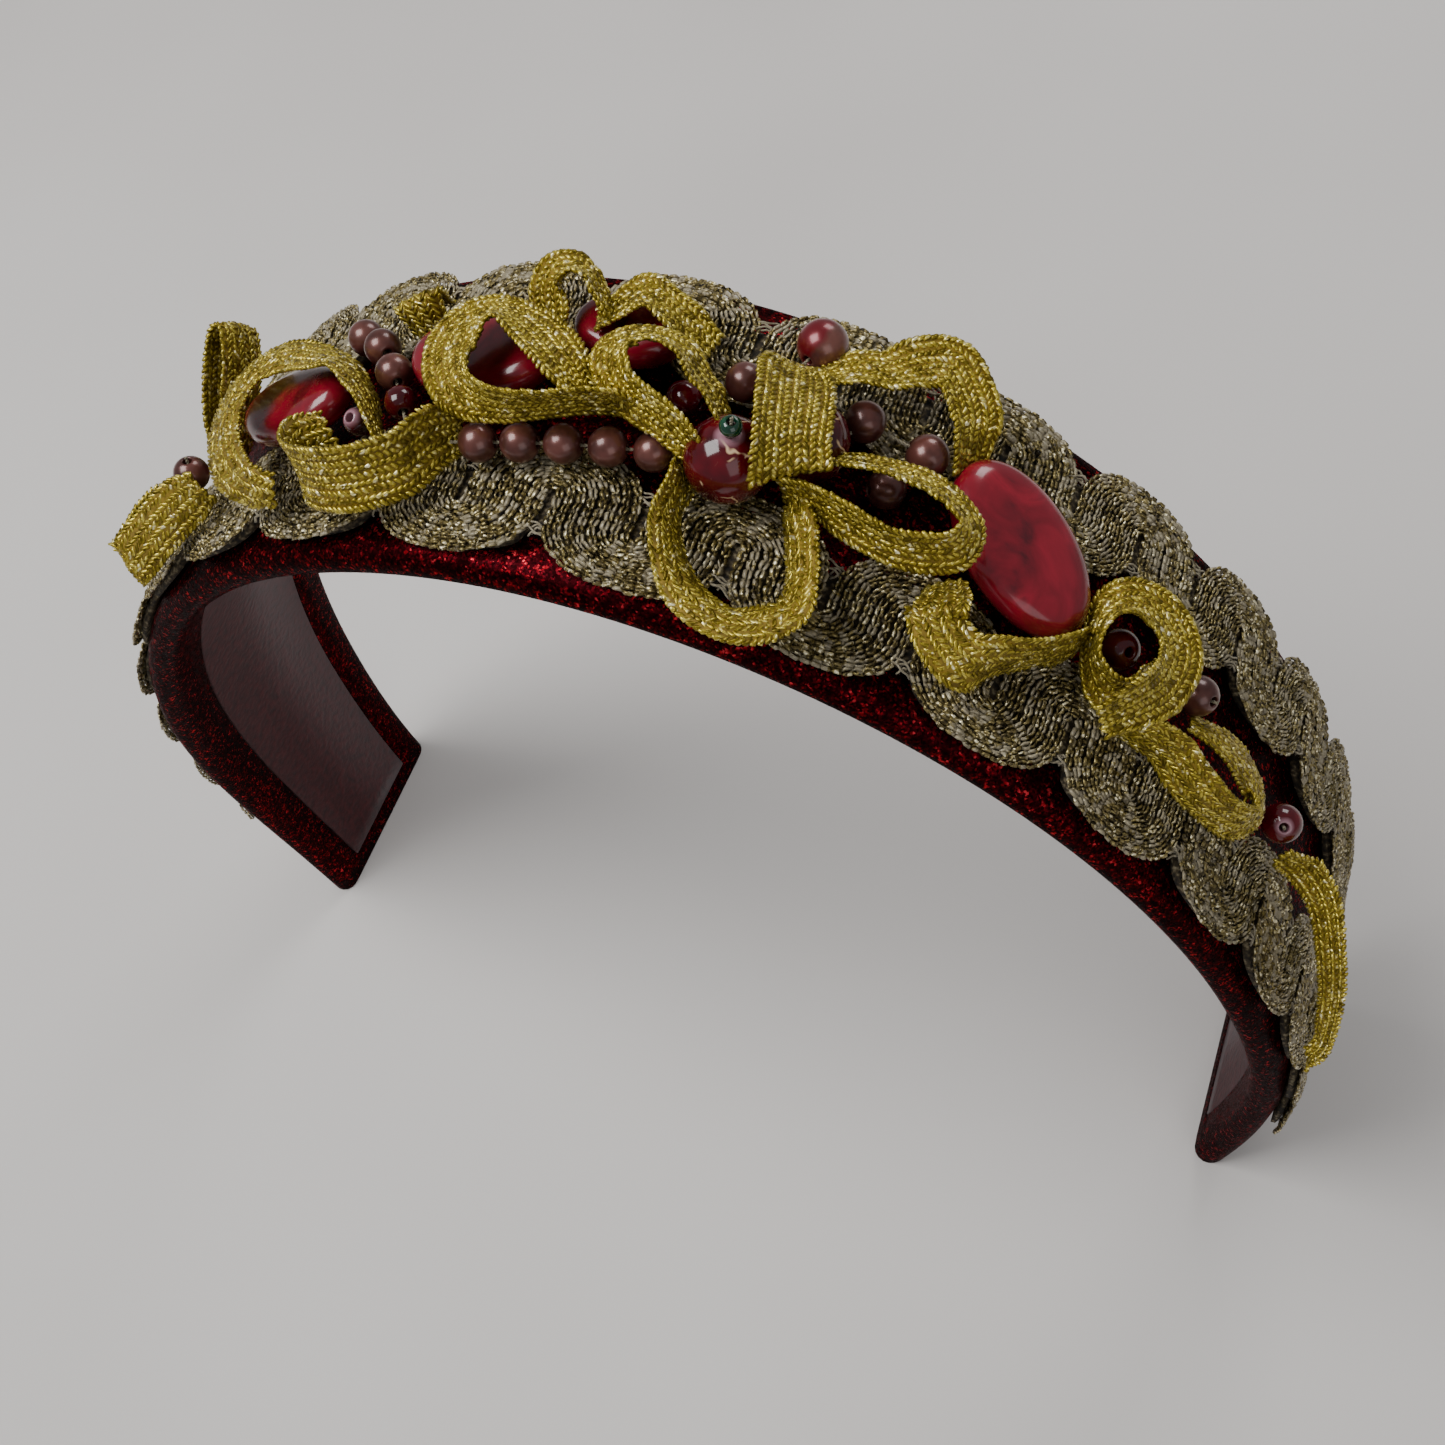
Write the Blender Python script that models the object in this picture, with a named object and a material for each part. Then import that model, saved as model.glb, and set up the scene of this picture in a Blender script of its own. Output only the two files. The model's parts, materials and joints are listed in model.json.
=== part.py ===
"""Padded headband trimmed with scroll braid, ribbon loops and beads.

The band is an arch over the crown: +Z is the crown, +X the wearer's left, -Y the face.
Places on it are band coordinates in millimetres: s runs along the arch from the crown
towards +X, t runs across it towards the back, and h stands off the surface that
touches the head. place() turns them into metres.
"""
import math

import bmesh
import bpy
import numpy as np
from mathutils import Vector

MM = 0.001

# ---- driving dimensions, millimetres ----
ARCH_HALF_WIDTH = 79.0      # inside half width at the widest level
ARCH_RISE = 97.0            # inside height of the crown above the widest level
ARCH_DROP_FACTOR = 1.35     # the curve below the widest level is this much longer
TIP_ANGLE = math.radians(-16.0)
TIP_TAPER = 0.8             # width of the tips over the width at the crown
TAPER_START = 95.0          # where along the arch the taper begins

BAND_HALF = 20.0            # half the band's width
BAND_THICK = 5.0            # from the head to the top of the padding
FABRIC = 0.6                # thickness of the fabric cover and of the lining
GAP = 0.3                   # between touching pieces
LINING_HALF = 12.0
CORE_HALF = 14.5
CORE_THICK = 1.3
TIP_INSET = 3.2             # from the tip of the cover to the pieces inside it

BRAID_THICK = 2.0
BRAID_HALF = 7.1            # half the braid's overall width, over its lobes
BRAID_WAIST = 2.7           # from the braid's middle to the valley between two lobes
BRAID_LIFT = 5.4            # underside of the braid at the middle of the band
BRAID_FALL = 0.7            # how much lower it is at the band's edges
BRAID_REACH = 150.0         # how far along the arch the braids go
FRONT_BRAID = {"middle": -12.0, "pitch": 17.3, "lobe_at": 7.9, "outer": -1}
REAR_BRAID = {"middle": 11.7, "pitch": 16.6, "lobe_at": 2.7, "outer": 1}

RIBBON_THICK = 0.8
THREAD = 0.4                # diameter of the sewing thread
BORE = 1.4                  # diameter of a bead's hole


# ---- the arch ----
def arch_table():
    """Angles round the arch and the length of the arch from the crown to each."""
    angle = np.linspace(math.pi / 2, TIP_ANGLE - 0.2, 4000)
    rise = np.where(np.sin(angle) > 0, ARCH_RISE, ARCH_RISE * ARCH_DROP_FACTOR)
    x = ARCH_HALF_WIDTH * np.cos(angle)
    z = rise * np.sin(angle)
    step = np.hypot(np.diff(x), np.diff(z))
    return angle, np.concatenate([[0.0], np.cumsum(step)])


ANGLES, LENGTHS = arch_table()
TIP_S = float(np.interp(-TIP_ANGLE, -ANGLES, LENGTHS))


def band_axes(s):
    """Point of the arch at s, with its directions along s and away from the head."""
    angle = float(np.interp(abs(s), LENGTHS, ANGLES))
    rise = ARCH_RISE if angle > 0 else ARCH_RISE * ARCH_DROP_FACTOR
    side = 1.0 if s >= 0 else -1.0
    point = Vector((side * ARCH_HALF_WIDTH * math.cos(angle), 0.0, rise * math.sin(angle)))
    along = Vector((ARCH_HALF_WIDTH * math.sin(angle), 0.0, -side * rise * math.cos(angle)))
    along.normalize()
    away = Vector((-along.z, 0.0, along.x))
    return point, along, away


def place(s, t, h):
    """World point, in metres, of band coordinates in millimetres."""
    point, _along, away = band_axes(s)
    return (point + away * h + Vector((0.0, t, 0.0))) * MM


def turn(s, direction):
    """World direction of a direction given in band coordinates at s."""
    _point, along, away = band_axes(s)
    return (along * direction[0] + Vector((0.0, direction[1], 0.0)) + away * direction[2]).normalized()


def taper(s):
    """How wide the band is at s, over its width at the crown."""
    part = min(max((abs(s) - TAPER_START) / (TIP_S - TAPER_START), 0.0), 1.0)
    return 1.0 - (1.0 - TIP_TAPER) * part * part * (3.0 - 2.0 * part)


# ---- building blocks ----
def material(name, colour, roughness, metallic=0.0):
    mat = bpy.data.materials.new(name)
    mat.use_nodes = True
    mat.diffuse_color = (*colour, 1.0)
    shader = mat.node_tree.nodes["Principled BSDF"]
    shader.inputs["Base Color"].default_value = (*colour, 1.0)
    shader.inputs["Roughness"].default_value = roughness
    shader.inputs["Metallic"].default_value = metallic
    return mat


def add_object(name, mesh_data, mat, centre=None):
    """Object from a bmesh; a moving piece has its origin at its centre."""
    bmesh.ops.recalc_face_normals(mesh_data, faces=mesh_data.faces)
    if centre is not None:
        bmesh.ops.translate(mesh_data, vec=-centre, verts=mesh_data.verts)
    mesh = bpy.data.meshes.new(name)
    mesh_data.to_mesh(mesh)
    mesh_data.free()
    mesh.materials.append(mat)
    piece = bpy.data.objects.new(name, mesh)
    if centre is not None:
        piece.location = centre
    bpy.context.scene.collection.objects.link(piece)
    return piece


def loft(sections):
    """Closed solid through a row of closed sections, all with as many points."""
    mesh_data = bmesh.new()
    rings = [[mesh_data.verts.new(point) for point in section] for section in sections]
    count = len(rings[0])
    for ring, following in zip(rings, rings[1:]):
        for i in range(count):
            j = (i + 1) % count
            mesh_data.faces.new((ring[i], ring[j], following[j], following[i]))
    mesh_data.faces.new(rings[0])
    mesh_data.faces.new(rings[-1])
    return mesh_data


def stations(reach, spacing):
    count = 2 * math.ceil(reach / spacing) + 1
    return [float(s) for s in np.linspace(-reach, reach, count)]


def band_section(s, outline):
    return [place(s, t * taper(s), h) for t, h in outline]


def tip_section(s, outline):
    """A section slid along the arch onto the level that the tips stand on."""
    level = place(math.copysign(TIP_S, s), 0.0, 0.0).z
    _point, along, _away = band_axes(s)
    points = band_section(s, outline)
    return [point + along * ((level - point.z) / along.z) for point in points]


# ---- band: core, padding, cover and lining ----
def add_core(mat):
    low = FABRIC + GAP + 0.05
    high = low + CORE_THICK
    inset = CORE_HALF - 0.4
    outline = [(inset, low), (CORE_HALF, low + 0.4), (CORE_HALF, high - 0.4), (inset, high)]
    outline = outline + [(-t, h) for t, h in reversed(outline)]
    reach = TIP_S - TIP_INSET - GAP
    add_object("core_band", loft([band_section(s, outline) for s in stations(reach, 6.0)]), mat)


def add_pad(mat):
    half = [(0.0, 4.1), (6.0, 4.05), (12.0, 3.9), (16.0, 3.65), (17.2, 3.15), (16.6, 2.6)]
    outline = half + [(-t, h) for t, h in reversed(half) if t > 0.0]
    reach = TIP_S - TIP_INSET - GAP
    add_object("foam_pad", loft([band_section(s, outline) for s in stations(reach, 6.0)]), mat)


def cover_outlines():
    """Outside of the cover from one turned-in hem to the other, and its inside back."""
    hem = LINING_HALF + GAP
    outside = [(hem, 0.0), (17.6, 0.0), (19.3, 0.7), (BAND_HALF, 2.2), (19.5, 3.6), (17.9, 4.5),
               (12.0, 4.83), (6.0, 4.96), (0.0, BAND_THICK)]
    inside = [(0.0, 4.4), (6.0, 4.36), (12.0, 4.23), (17.4, 3.93), (18.8, 3.2), (19.4, 2.2),
              (18.8, 1.15), (17.4, FABRIC), (hem, FABRIC)]
    outside = outside + [(-t, h) for t, h in reversed(outside) if t > 0.0]
    inside_back = [(-t, h) for t, h in reversed(inside) if t > 0.0] + inside
    return outside, inside_back


def add_cover(mat):
    outside, inside = cover_outlines()
    mesh_data = bmesh.new()
    inner_reach = TIP_S - TIP_INSET
    open_rings = []
    for s in stations(inner_reach, 6.0):
        open_rings.append([mesh_data.verts.new(p) for p in band_section(s, outside + inside)])
    ends = [[mesh_data.verts.new(p) for p in tip_section(s, outside)] for s in (-TIP_S, TIP_S)]
    count = len(open_rings[0])
    for ring, following in zip(open_rings, open_rings[1:]):
        for i in range(count):
            j = (i + 1) % count
            mesh_data.faces.new((ring[i], ring[j], following[j], following[i]))
    last = len(outside) - 1
    for end, ring in zip(ends, (open_rings[0], open_rings[-1])):
        for i in range(last):
            mesh_data.faces.new((end[i], end[i + 1], ring[i + 1], ring[i]))
        mesh_data.faces.new((end[last], end[0], ring[0], ring[last]))
        mesh_data.faces.new(end)
        mesh_data.faces.new([ring[0]] + [ring[i] for i in range(last, count)])
    add_object("fabric_cover", mesh_data, mat)


def add_lining(mat):
    outline = [(LINING_HALF, 0.0), (LINING_HALF, FABRIC), (-LINING_HALF, FABRIC), (-LINING_HALF, 0.0)]
    reach = TIP_S - TIP_INSET - GAP
    add_object("lining", loft([band_section(s, outline) for s in stations(reach, 6.0)]), mat)


# ---- braids ----
def braid_floor(t):
    return BRAID_LIFT - BRAID_FALL * (t / BAND_HALF) ** 2


def lobe_reach(s, pitch, lobe_at):
    """From the braid's middle to its scalloped edge, at s."""
    off = abs((s - lobe_at + pitch / 2) % pitch - pitch / 2) / (pitch / 2)
    bulge = (1.0 - min(off, 1.0) ** 2.3) ** (1 / 2.3)
    return BRAID_WAIST + (BRAID_HALF - BRAID_WAIST) * bulge


def add_braid(name, braid, mat):
    pitch, outer = braid["pitch"], braid["outer"]
    first = math.ceil((-BRAID_REACH - braid["lobe_at"]) / (pitch / 8))
    last = math.floor((BRAID_REACH - braid["lobe_at"]) / (pitch / 8))
    sections = []
    for step in range(first, last + 1):
        s = braid["lobe_at"] + step * pitch / 8
        middle = braid["middle"] * taper(s)
        edge_out = middle + outer * lobe_reach(s, pitch, braid["lobe_at"])
        edge_in = middle - outer * lobe_reach(s, pitch, braid["lobe_at"] + pitch / 2)
        inset_out = edge_out - outer * 0.9
        inset_in = edge_in + outer * 0.9
        profile = [(edge_out, 0.0), (edge_in, 0.0), (edge_in, BRAID_THICK - 0.8), (inset_in, BRAID_THICK),
                   (inset_out, BRAID_THICK), (edge_out, BRAID_THICK - 0.8)]
        sections.append([place(s, t, braid_floor(t) + rise) for t, rise in profile])
    add_object(name, loft(sections), mat)


# ---- ribbon loops ----
# A route lists (s, t, h) and the direction of the ribbon's width there, both in band
# coordinates. The ribbon keeps to it on a smooth curve.
RIBBONS = {
    "left_tail_loop": (6.0, [
        ((-42.0, -13.4, 10.8), (0.3, 0.3, 0.9)), ((-45.5, -15.0, 10.8), (0.2, 0.4, 0.9)),
        ((-48.5, -17.8, 10.9), (0.0, 0.5, 0.85)), ((-51.5, -21.0, 10.8), (0.0, 0.5, 0.85)),
        ((-53.0, -20.2, 10.6), (0.0, 0.4, 0.9)), ((-52.0, -17.0, 10.6), (0.0, 0.4, 0.9)),
        ((-50.0, -14.0, 10.6), (0.0, 0.4, 0.9))]),
    "left_upright_loop": (6.0, [
        ((-45.0, -2.6, 9.8), (-0.3, 0.6, -0.7)), ((-43.8, 0.5, 12.0), (-0.3, 0.6, -0.7)),
        ((-42.9, 3.4, 14.1), (-0.3, 0.6, -0.7)), ((-42.8, 5.7, 16.1), (-0.3, 0.6, -0.7)),
        ((-44.0, 5.7, 16.7), (-0.3, 0.6, -0.7)), ((-45.2, 3.6, 15.5), (-0.3, 0.6, -0.7)),
        ((-46.4, 0.5, 13.3), (-0.3, 0.6, -0.7)), ((-47.3, -2.0, 11.3), (-0.3, 0.6, -0.7))]),
    "ring_loop": (5.5, [
        ((-19.2, -7.9, 10.3), (-0.6, 0.6, -0.6)), ((-21.6, -4.5, 11.6), (-0.5, 0.7, -0.5)),
        ((-25.0, -1.4, 12.6), (-0.6, 0.7, -0.4)), ((-28.6, -0.4, 13.4), (-0.6, 0.7, -0.2)),
        ((-33.0, 0.2, 14.0), (-0.7, 0.7, 0.0)), ((-36.3, -1.5, 14.6), (-0.8, 0.6, 0.0)),
        ((-36.5, -6.3, 14.8), (-0.9, 0.4, 0.0)), ((-35.0, -11.0, 14.3), (-1.0, 0.2, 0.0)),
        ((-32.7, -14.4, 13.3), (-1.0, 0.1, 0.0)), ((-29.5, -16.4, 12.4), (-0.9, -0.3, 0.0)),
        ((-27.8, -16.9, 11.9), (-0.8, -0.3, -0.3))]),
    "wide_fold": (7.0, [
        ((-23.2, -9.6, 11.2), (0.0, 0.4, 0.9)), ((-25.3, -11.2, 11.4), (0.0, 0.4, 0.9)),
        ((-24.2, -14.6, 12.0), (0.0, 0.4, 0.9)), ((-20.5, -16.8, 13.0), (0.0, 0.4, 0.9)),
        ((-16.8, -17.1, 13.2), (0.0, 0.4, 0.9)), ((-14.3, -15.8, 12.8), (0.0, 0.4, 0.9)),
        ((-12.4, -13.8, 12.2), (0.0, 0.4, 0.9)), ((-11.2, -10.4, 11.8), (0.0, 0.4, 0.9))]),
    "left_peak_fold": (6.0, [
        ((-20.6, 6.6, 9.2), (0.9, 0.3, 0.1)), ((-20.6, 6.9, 10.9), (0.9, 0.3, 0.1)),
        ((-20.8, 7.6, 12.4), (0.9, 0.3, 0.1)), ((-21.2, 8.7, 11.2), (0.9, 0.3, 0.1)),
        ((-21.6, 9.6, 9.4), (0.9, 0.3, 0.1))]),
    "teardrop_loop": (6.5, [
        ((2.2, -4.6, 14.4), (-0.3, 0.2, -0.9)), ((-1.5, -6.6, 14.9), (-0.3, 0.2, -0.9)),
        ((-4.6, -7.6, 15.2), (-0.4, 0.1, -0.9)), ((-7.4, -7.0, 15.4), (-0.7, 0.0, -0.7)),
        ((-10.0, -4.6, 15.3), (-0.9, -0.1, -0.3)), ((-11.2, -1.0, 15.4), (-1.0, 0.0, -0.1)),
        ((-10.3, 2.0, 15.6), (-0.9, 0.4, -0.2)), ((-8.0, 3.2, 15.6), (-0.6, 0.7, -0.4)),
        ((-5.0, 1.8, 15.3), (0.0, 0.9, -0.4)), ((-1.8, -1.0, 15.2), (0.2, 0.9, -0.4))]),
    "top_loop": (6.0, [
        ((-6.0, 6.6, 12.2), (-0.9, 0.2, -0.3)), ((-6.2, 7.8, 13.6), (-0.9, 0.2, -0.3)),
        ((-5.6, 9.0, 15.0), (-0.8, 0.4, -0.3)), ((-4.0, 9.6, 15.6), (-0.6, 0.7, -0.4)),
        ((-2.6, 9.2, 15.0), (-0.4, 0.8, -0.5)), ((-2.2, 8.7, 14.5), (-0.3, 0.8, -0.5))]),
    "broad_fold": (5.6, [
        ((0.8, 8.6, 13.4), (-0.3, 0.9, -0.2)), ((2.2, 9.6, 13.8), (-0.3, 0.9, -0.2)),
        ((4.2, 9.0, 12.9), (-0.2, 1.0, -0.2)), ((5.6, 8.6, 11.7), (0.0, 1.0, -0.1))]),
    "centre_left_loop": (6.0, [
        ((8.4, -5.2, 14.9), (-0.4, 0.0, -0.9)), ((5.7, -4.0, 15.0), (-0.5, 0.0, -0.9)),
        ((3.6, -2.3, 15.4), (-0.7, 0.1, -0.7)), ((2.4, 0.3, 15.6), (-0.8, 0.4, -0.5)),
        ((3.3, 2.5, 15.6), (-0.6, 0.5, -0.5)), ((5.1, 3.4, 15.4), (-0.4, 0.7, -0.6)),
        ((7.4, 2.7, 15.2), (-0.2, 0.8, -0.6)), ((9.4, 0.5, 14.8), (-0.1, 0.8, -0.6)),
        ((11.0, -1.2, 14.6), (0.0, 0.7, -0.7))]),
    "bead_wrap": (8.0, [
        ((18.7, -6.6, 15.1), (-0.8, -0.5, 0.3)), ((18.5, -6.2, 16.3), (-0.9, -0.4, 0.2)),
        ((17.7, -3.4, 17.1), (-0.9, -0.4, 0.3)), ((16.9, 0.9, 16.3), (-0.9, -0.4, 0.3)),
        ((16.1, 5.0, 14.5), (-0.9, -0.3, 0.3)), ((15.8, 6.6, 13.2), (-1.0, -0.2, 0.2))]),
    "lower_ring_loop": (5.0, [
        ((10.6, -8.4, 9.9), (-0.2, -0.6, 0.8)), ((10.9, -12.6, 10.4), (-0.3, -0.6, 0.7)),
        ((12.4, -16.3, 10.6), (-0.3, -0.7, 0.6)), ((14.9, -19.7, 11.0), (-0.2, -0.9, 0.4)),
        ((18.2, -21.0, 11.2), (0.0, -0.9, 0.4)), ((20.8, -19.9, 11.2), (0.3, -0.9, 0.4)),
        ((22.6, -17.0, 11.0), (0.4, -0.7, 0.5)), ((22.4, -13.5, 10.8), (0.5, -0.5, 0.8)),
        ((21.6, -10.6, 10.4), (0.5, -0.2, 0.9)), ((21.0, -8.8, 10.2), (0.5, 0.0, 0.9))]),
    "right_loop": (5.5, [
        ((24.2, -1.7, 14.4), (-0.1, 0.7, -0.7)), ((28.1, -1.6, 15.4), (0.1, 0.8, -0.6)),
        ((30.8, -2.7, 16.2), (0.3, 0.8, -0.6)), ((32.6, -4.4, 16.4), (0.6, 0.6, -0.6)),
        ((32.5, -6.7, 16.0), (0.7, 0.1, -0.6)), ((30.8, -7.9, 15.0), (0.6, -0.1, -0.8)),
        ((27.8, -8.4, 13.8), (0.4, -0.1, -0.9)), ((24.0, -7.3, 12.8), (0.1, -0.1, -1.0)),
        ((21.4, -6.4, 12.4), (0.0, 0.1, -1.0))]),
    "top_right_loop": (6.0, [
        ((20.6, 9.4, 12.4), (-0.2, 0.9, -0.4)), ((22.9, 10.2, 12.6), (-0.2, 0.9, -0.3)),
        ((25.1, 12.4, 13.0), (-0.3, 1.0, 0.0)), ((27.4, 13.7, 13.2), (0.0, 1.0, 0.0)),
        ((29.2, 12.1, 13.0), (0.5, 0.8, 0.0)), ((30.8, 10.1, 12.4), (0.7, 0.7, 0.0)),
        ((31.4, 8.2, 11.8), (0.6, 0.7, -0.2))]),
    "zigzag_fold": (6.0, [
        ((33.8, -9.8, 11.0), (-0.6, -0.2, -0.6)),
        ((33.7, -11.4, 11.4), (-0.8, -0.5, -0.3)), ((35.2, -13.2, 11.2), (-0.5, -0.8, -0.3)),
        ((37.7, -14.0, 11.0), (0.1, -0.9, -0.5)), ((40.2, -12.0, 10.9), (0.4, -0.2, -0.9)),
        ((43.0, -9.8, 10.9), (0.5, 0.1, -0.9)), ((45.6, -7.2, 10.8), (0.6, 0.3, -0.8))]),
    "rosette": (6.0, [
        ((57.0, -3.7, 10.4), (1.0, -0.1, -0.2)), ((54.0, -6.7, 10.8), (0.9, -0.3, -0.4)),
        ((50.6, -7.8, 11.2), (0.6, -0.1, -0.8)), ((47.8, -6.0, 11.8), (0.3, 0.3, -0.9)),
        ((47.7, -2.1, 12.6), (0.1, 0.7, -0.7)), ((49.6, 0.6, 13.2), (0.0, 0.9, -0.3)),
        ((52.6, 0.9, 13.8), (0.5, 0.9, -0.1)), ((54.8, -1.6, 14.2), (0.8, 0.5, 0.0)),
        ((54.2, -6.0, 14.6), (1.0, 0.1, -0.2)), ((51.8, -10.0, 14.8), (0.9, -0.2, -0.5))]),
    "lower_right_loop": (6.0, [
        ((58.0, -9.6, 11.0), (0.0, -0.1, -1.0)), ((60.0, -9.8, 11.0), (0.1, -0.1, -1.0)),
        ((62.7, -11.0, 11.2), (0.2, -0.2, -1.0)), ((66.6, -11.6, 11.4), (0.4, -0.1, -0.9)),
        ((70.8, -10.3, 11.4), (0.8, 0.0, -0.6)), ((72.5, -7.2, 11.4), (0.9, 0.3, -0.2)),
        ((70.5, -5.0, 11.2), (0.7, 0.7, -0.2)), ((66.2, -4.0, 11.0), (0.6, 0.7, -0.3))]),
    "right_tail_loop": (5.5, [
        ((82.0, -7.8, 10.6), (-0.5, 0.1, 0.9)), ((84.6, -7.4, 11.2), (-0.5, 0.1, 0.9)),
        ((87.9, -9.4, 12.6), (-0.6, 0.0, 0.8)), ((91.5, -13.0, 13.0), (-0.6, -0.2, 0.7)),
        ((96.6, -16.3, 12.4), (-0.7, -0.3, 0.6)), ((101.7, -19.3, 11.0), (-0.8, -0.3, 0.5))]),
}
RIBBON_SPACING = 1.7        # between the sections along a ribbon


def smooth_route(route, spacing):
    """World points and width directions, evenly spaced on a curve through the route."""
    knots = [np.array([*place(*point), *turn(point[0], width)]) for point, width in route]
    knots = [2 * knots[0] - knots[1]] + knots + [2 * knots[-1] - knots[-2]]
    fine = []
    for before, start, end, after in zip(knots, knots[1:], knots[2:], knots[3:]):
        for u in np.arange(0.0, 1.0, 0.05):
            fine.append(0.5 * (2 * start + (end - before) * u
                               + (2 * before - 5 * start + 4 * end - after) * u ** 2
                               + (3 * start - before - 3 * end + after) * u ** 3))
    fine = np.array(fine + [knots[-2]])
    length = np.concatenate([[0.0], np.cumsum(np.linalg.norm(np.diff(fine[:, :3], axis=0), axis=1))])
    count = max(2, round(length[-1] / (spacing * MM)) + 1)
    even = np.linspace(0.0, length[-1], count)
    return np.stack([np.interp(even, length, fine[:, i]) for i in range(6)], axis=1)


def add_ribbon(name, mat):
    width, route = RIBBONS[name]
    samples = smooth_route(route, RIBBON_SPACING)
    points = samples[:, :3]
    tangents = np.gradient(points, axis=0)
    sections = []
    for point, tangent, across in zip(points, tangents, samples[:, 3:]):
        tangent = Vector(tangent).normalized()
        across = Vector(across)
        across = (across - tangent * across.dot(tangent)).normalized()
        face = tangent.cross(across)
        half, thick = across * width * MM / 2, face * RIBBON_THICK * MM / 2
        centre = Vector(point)
        sections.append([centre - half - thick, centre + half - thick, centre + half + thick,
                         centre - half + thick])
    add_object(name, loft(sections), mat)


# ---- beads ----
# Beads strung on one thread turn about it, so their holes lie along the string.
STRINGS = {
    "pearl_string": {
        "string_pearl_1": ((-7.9, -8.7, 9.9), 4.0), "string_pearl_2": ((-4.1, -8.0, 9.9), 4.0),
        "string_pearl_3": ((-0.3, -7.2, 9.9), 4.0), "string_pearl_4": ((3.5, -6.4, 9.9), 4.0),
        "string_pearl_5": ((7.3, -5.6, 9.9), 4.0)},
    "cluster_string": {
        "cluster_pearl_1": ((-28.2, 5.6, 9.7), 4.0), "cluster_pearl_2": ((-24.6, 3.5, 9.9), 4.0),
        "cluster_pearl_3": ((-21.2, -0.2, 9.8), 4.0), "cluster_bead_red": ((-18.8, -3.9, 9.3), 3.5)},
    "rear_string": {
        "rear_pearl_1": ((22.6, 5.6, 9.9), 4.2), "rear_pearl_2": ((28.7, 5.2, 9.6), 4.4)},
}
# name: (s, t, h), diameter, direction of the hole; each turns on a stitch of its own
SEWN_BEADS = {
    "left_pearl": ((-45.6, -10.8, 11.4), 4.0, (0.6, 0.2, 0.7)),
    "two_tone_pearl": ((16.8, 12.0, 10.2), 5.2, (0.3, 0.9, 0.0)),
    "right_pearl": ((62.0, -1.0, 10.0), 4.3, (0.2, -0.4, 0.9)),
    "crackle_bead_front": ((13.6, -5.4, 12.1), 8.4, (0.0, 0.0, 1.0)),
    "crackle_bead_rear": ((18.7, 0.8, 10.2), 8.4, (0.8, 0.6, 0.0)),
    "right_bead_hole": ((80.0, -4.6, 9.9), 4.4, (-0.6, -0.6, 0.5)),
}
# sewn down tight between the ribbons, so they don't turn
FIXED_BEADS = {
    "middle_pearl": ((11.9, 5.2, 9.7), 4.0, (1.0, 0.0, 0.0)),
    "inner_pearl": ((26.6, 1.0, 7.7), 4.0, (0.8, 0.5, 0.0)),
    "cluster_bead_hole": ((-23.4, -6.0, 9.0), 3.0, (0.1, -0.4, 0.9)),
    "loop_bead_red": ((7.6, 1.4, 9.4), 3.8, (1.0, 0.0, 0.0)),
    "rosette_bead": ((51.0, -3.4, 10.6), 4.4, (0.0, -0.4, 0.9)),
}
GLASS = ("cluster_bead_red", "crackle_bead_front", "crackle_bead_rear", "right_bead_hole",
         "cluster_bead_hole", "loop_bead_red", "rosette_bead")
SEED_BEAD = ((13.6, -5.4, 17.4), 2.2, (0.0, 0.0, 1.0))
# name: (s, t, h), length, width, thickness, direction of the length
OVALS = {
    "left_oval": ((-33.5, -3.0, 9.6), 17.0, 10.0, 4.0, (1.0, 0.0)),
    "teardrop_oval": ((-12.0, 1.8, 9.7), 16.5, 10.5, 4.2, (1.0, 0.0)),
    "top_oval": ((0.4, 8.0, 9.4), 12.0, 8.5, 4.0, (1.0, 0.0)),
    "right_oval": ((39.2, 0.6, 9.9), 19.4, 12.4, 4.6, (0.82, -0.58)),
}


def string_points(beads):
    """Centres of the beads on a string, with the string's two free ends."""
    centres = [place(*spot) for spot, _diameter in beads.values()]
    first, last = (centres[1] - centres[0]).normalized(), (centres[-1] - centres[-2]).normalized()
    return [centres[0] - first * 3.0 * MM] + centres + [centres[-1] + last * 3.0 * MM]


def all_beads():
    """name: centre, diameter, direction of the hole, whether it turns."""
    beads = {}
    for string in STRINGS.values():
        points = string_points(string)
        for i, (name, (_spot, diameter)) in enumerate(string.items()):
            beads[name] = (points[i + 1], diameter, (points[i + 2] - points[i]).normalized(), True)
    for group, turns in ((SEWN_BEADS, True), (FIXED_BEADS, False)):
        for name, (spot, diameter, direction) in group.items():
            beads[name] = (place(*spot), diameter, turn(spot[0], direction), turns)
    return beads


def add_bead(name, centre, diameter, hole, mat, bore=BORE, turns=False):
    radius, hole_radius = diameter / 2 * MM, bore / 2 * MM
    start = math.asin(hole_radius / radius)
    profile = []
    for angle in np.linspace(start, math.pi - start, 7):
        profile.append((radius * math.sin(angle), radius * math.cos(angle)))
    rotation = hole.to_track_quat("Z", "Y").to_matrix()
    mesh_data = bmesh.new()
    rings = []
    for step in range(12):
        angle = 2 * math.pi * step / 12
        ring = [Vector((r * math.cos(angle), r * math.sin(angle), z)) for r, z in profile]
        rings.append([mesh_data.verts.new(rotation @ point + centre) for point in ring])
    for ring, following in zip(rings, rings[1:] + rings[:1]):
        for i in range(len(profile)):
            j = (i + 1) % len(profile)
            mesh_data.faces.new((ring[i], ring[j], following[j], following[i]))
    add_object(name, mesh_data, mat, centre if turns else None)


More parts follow.
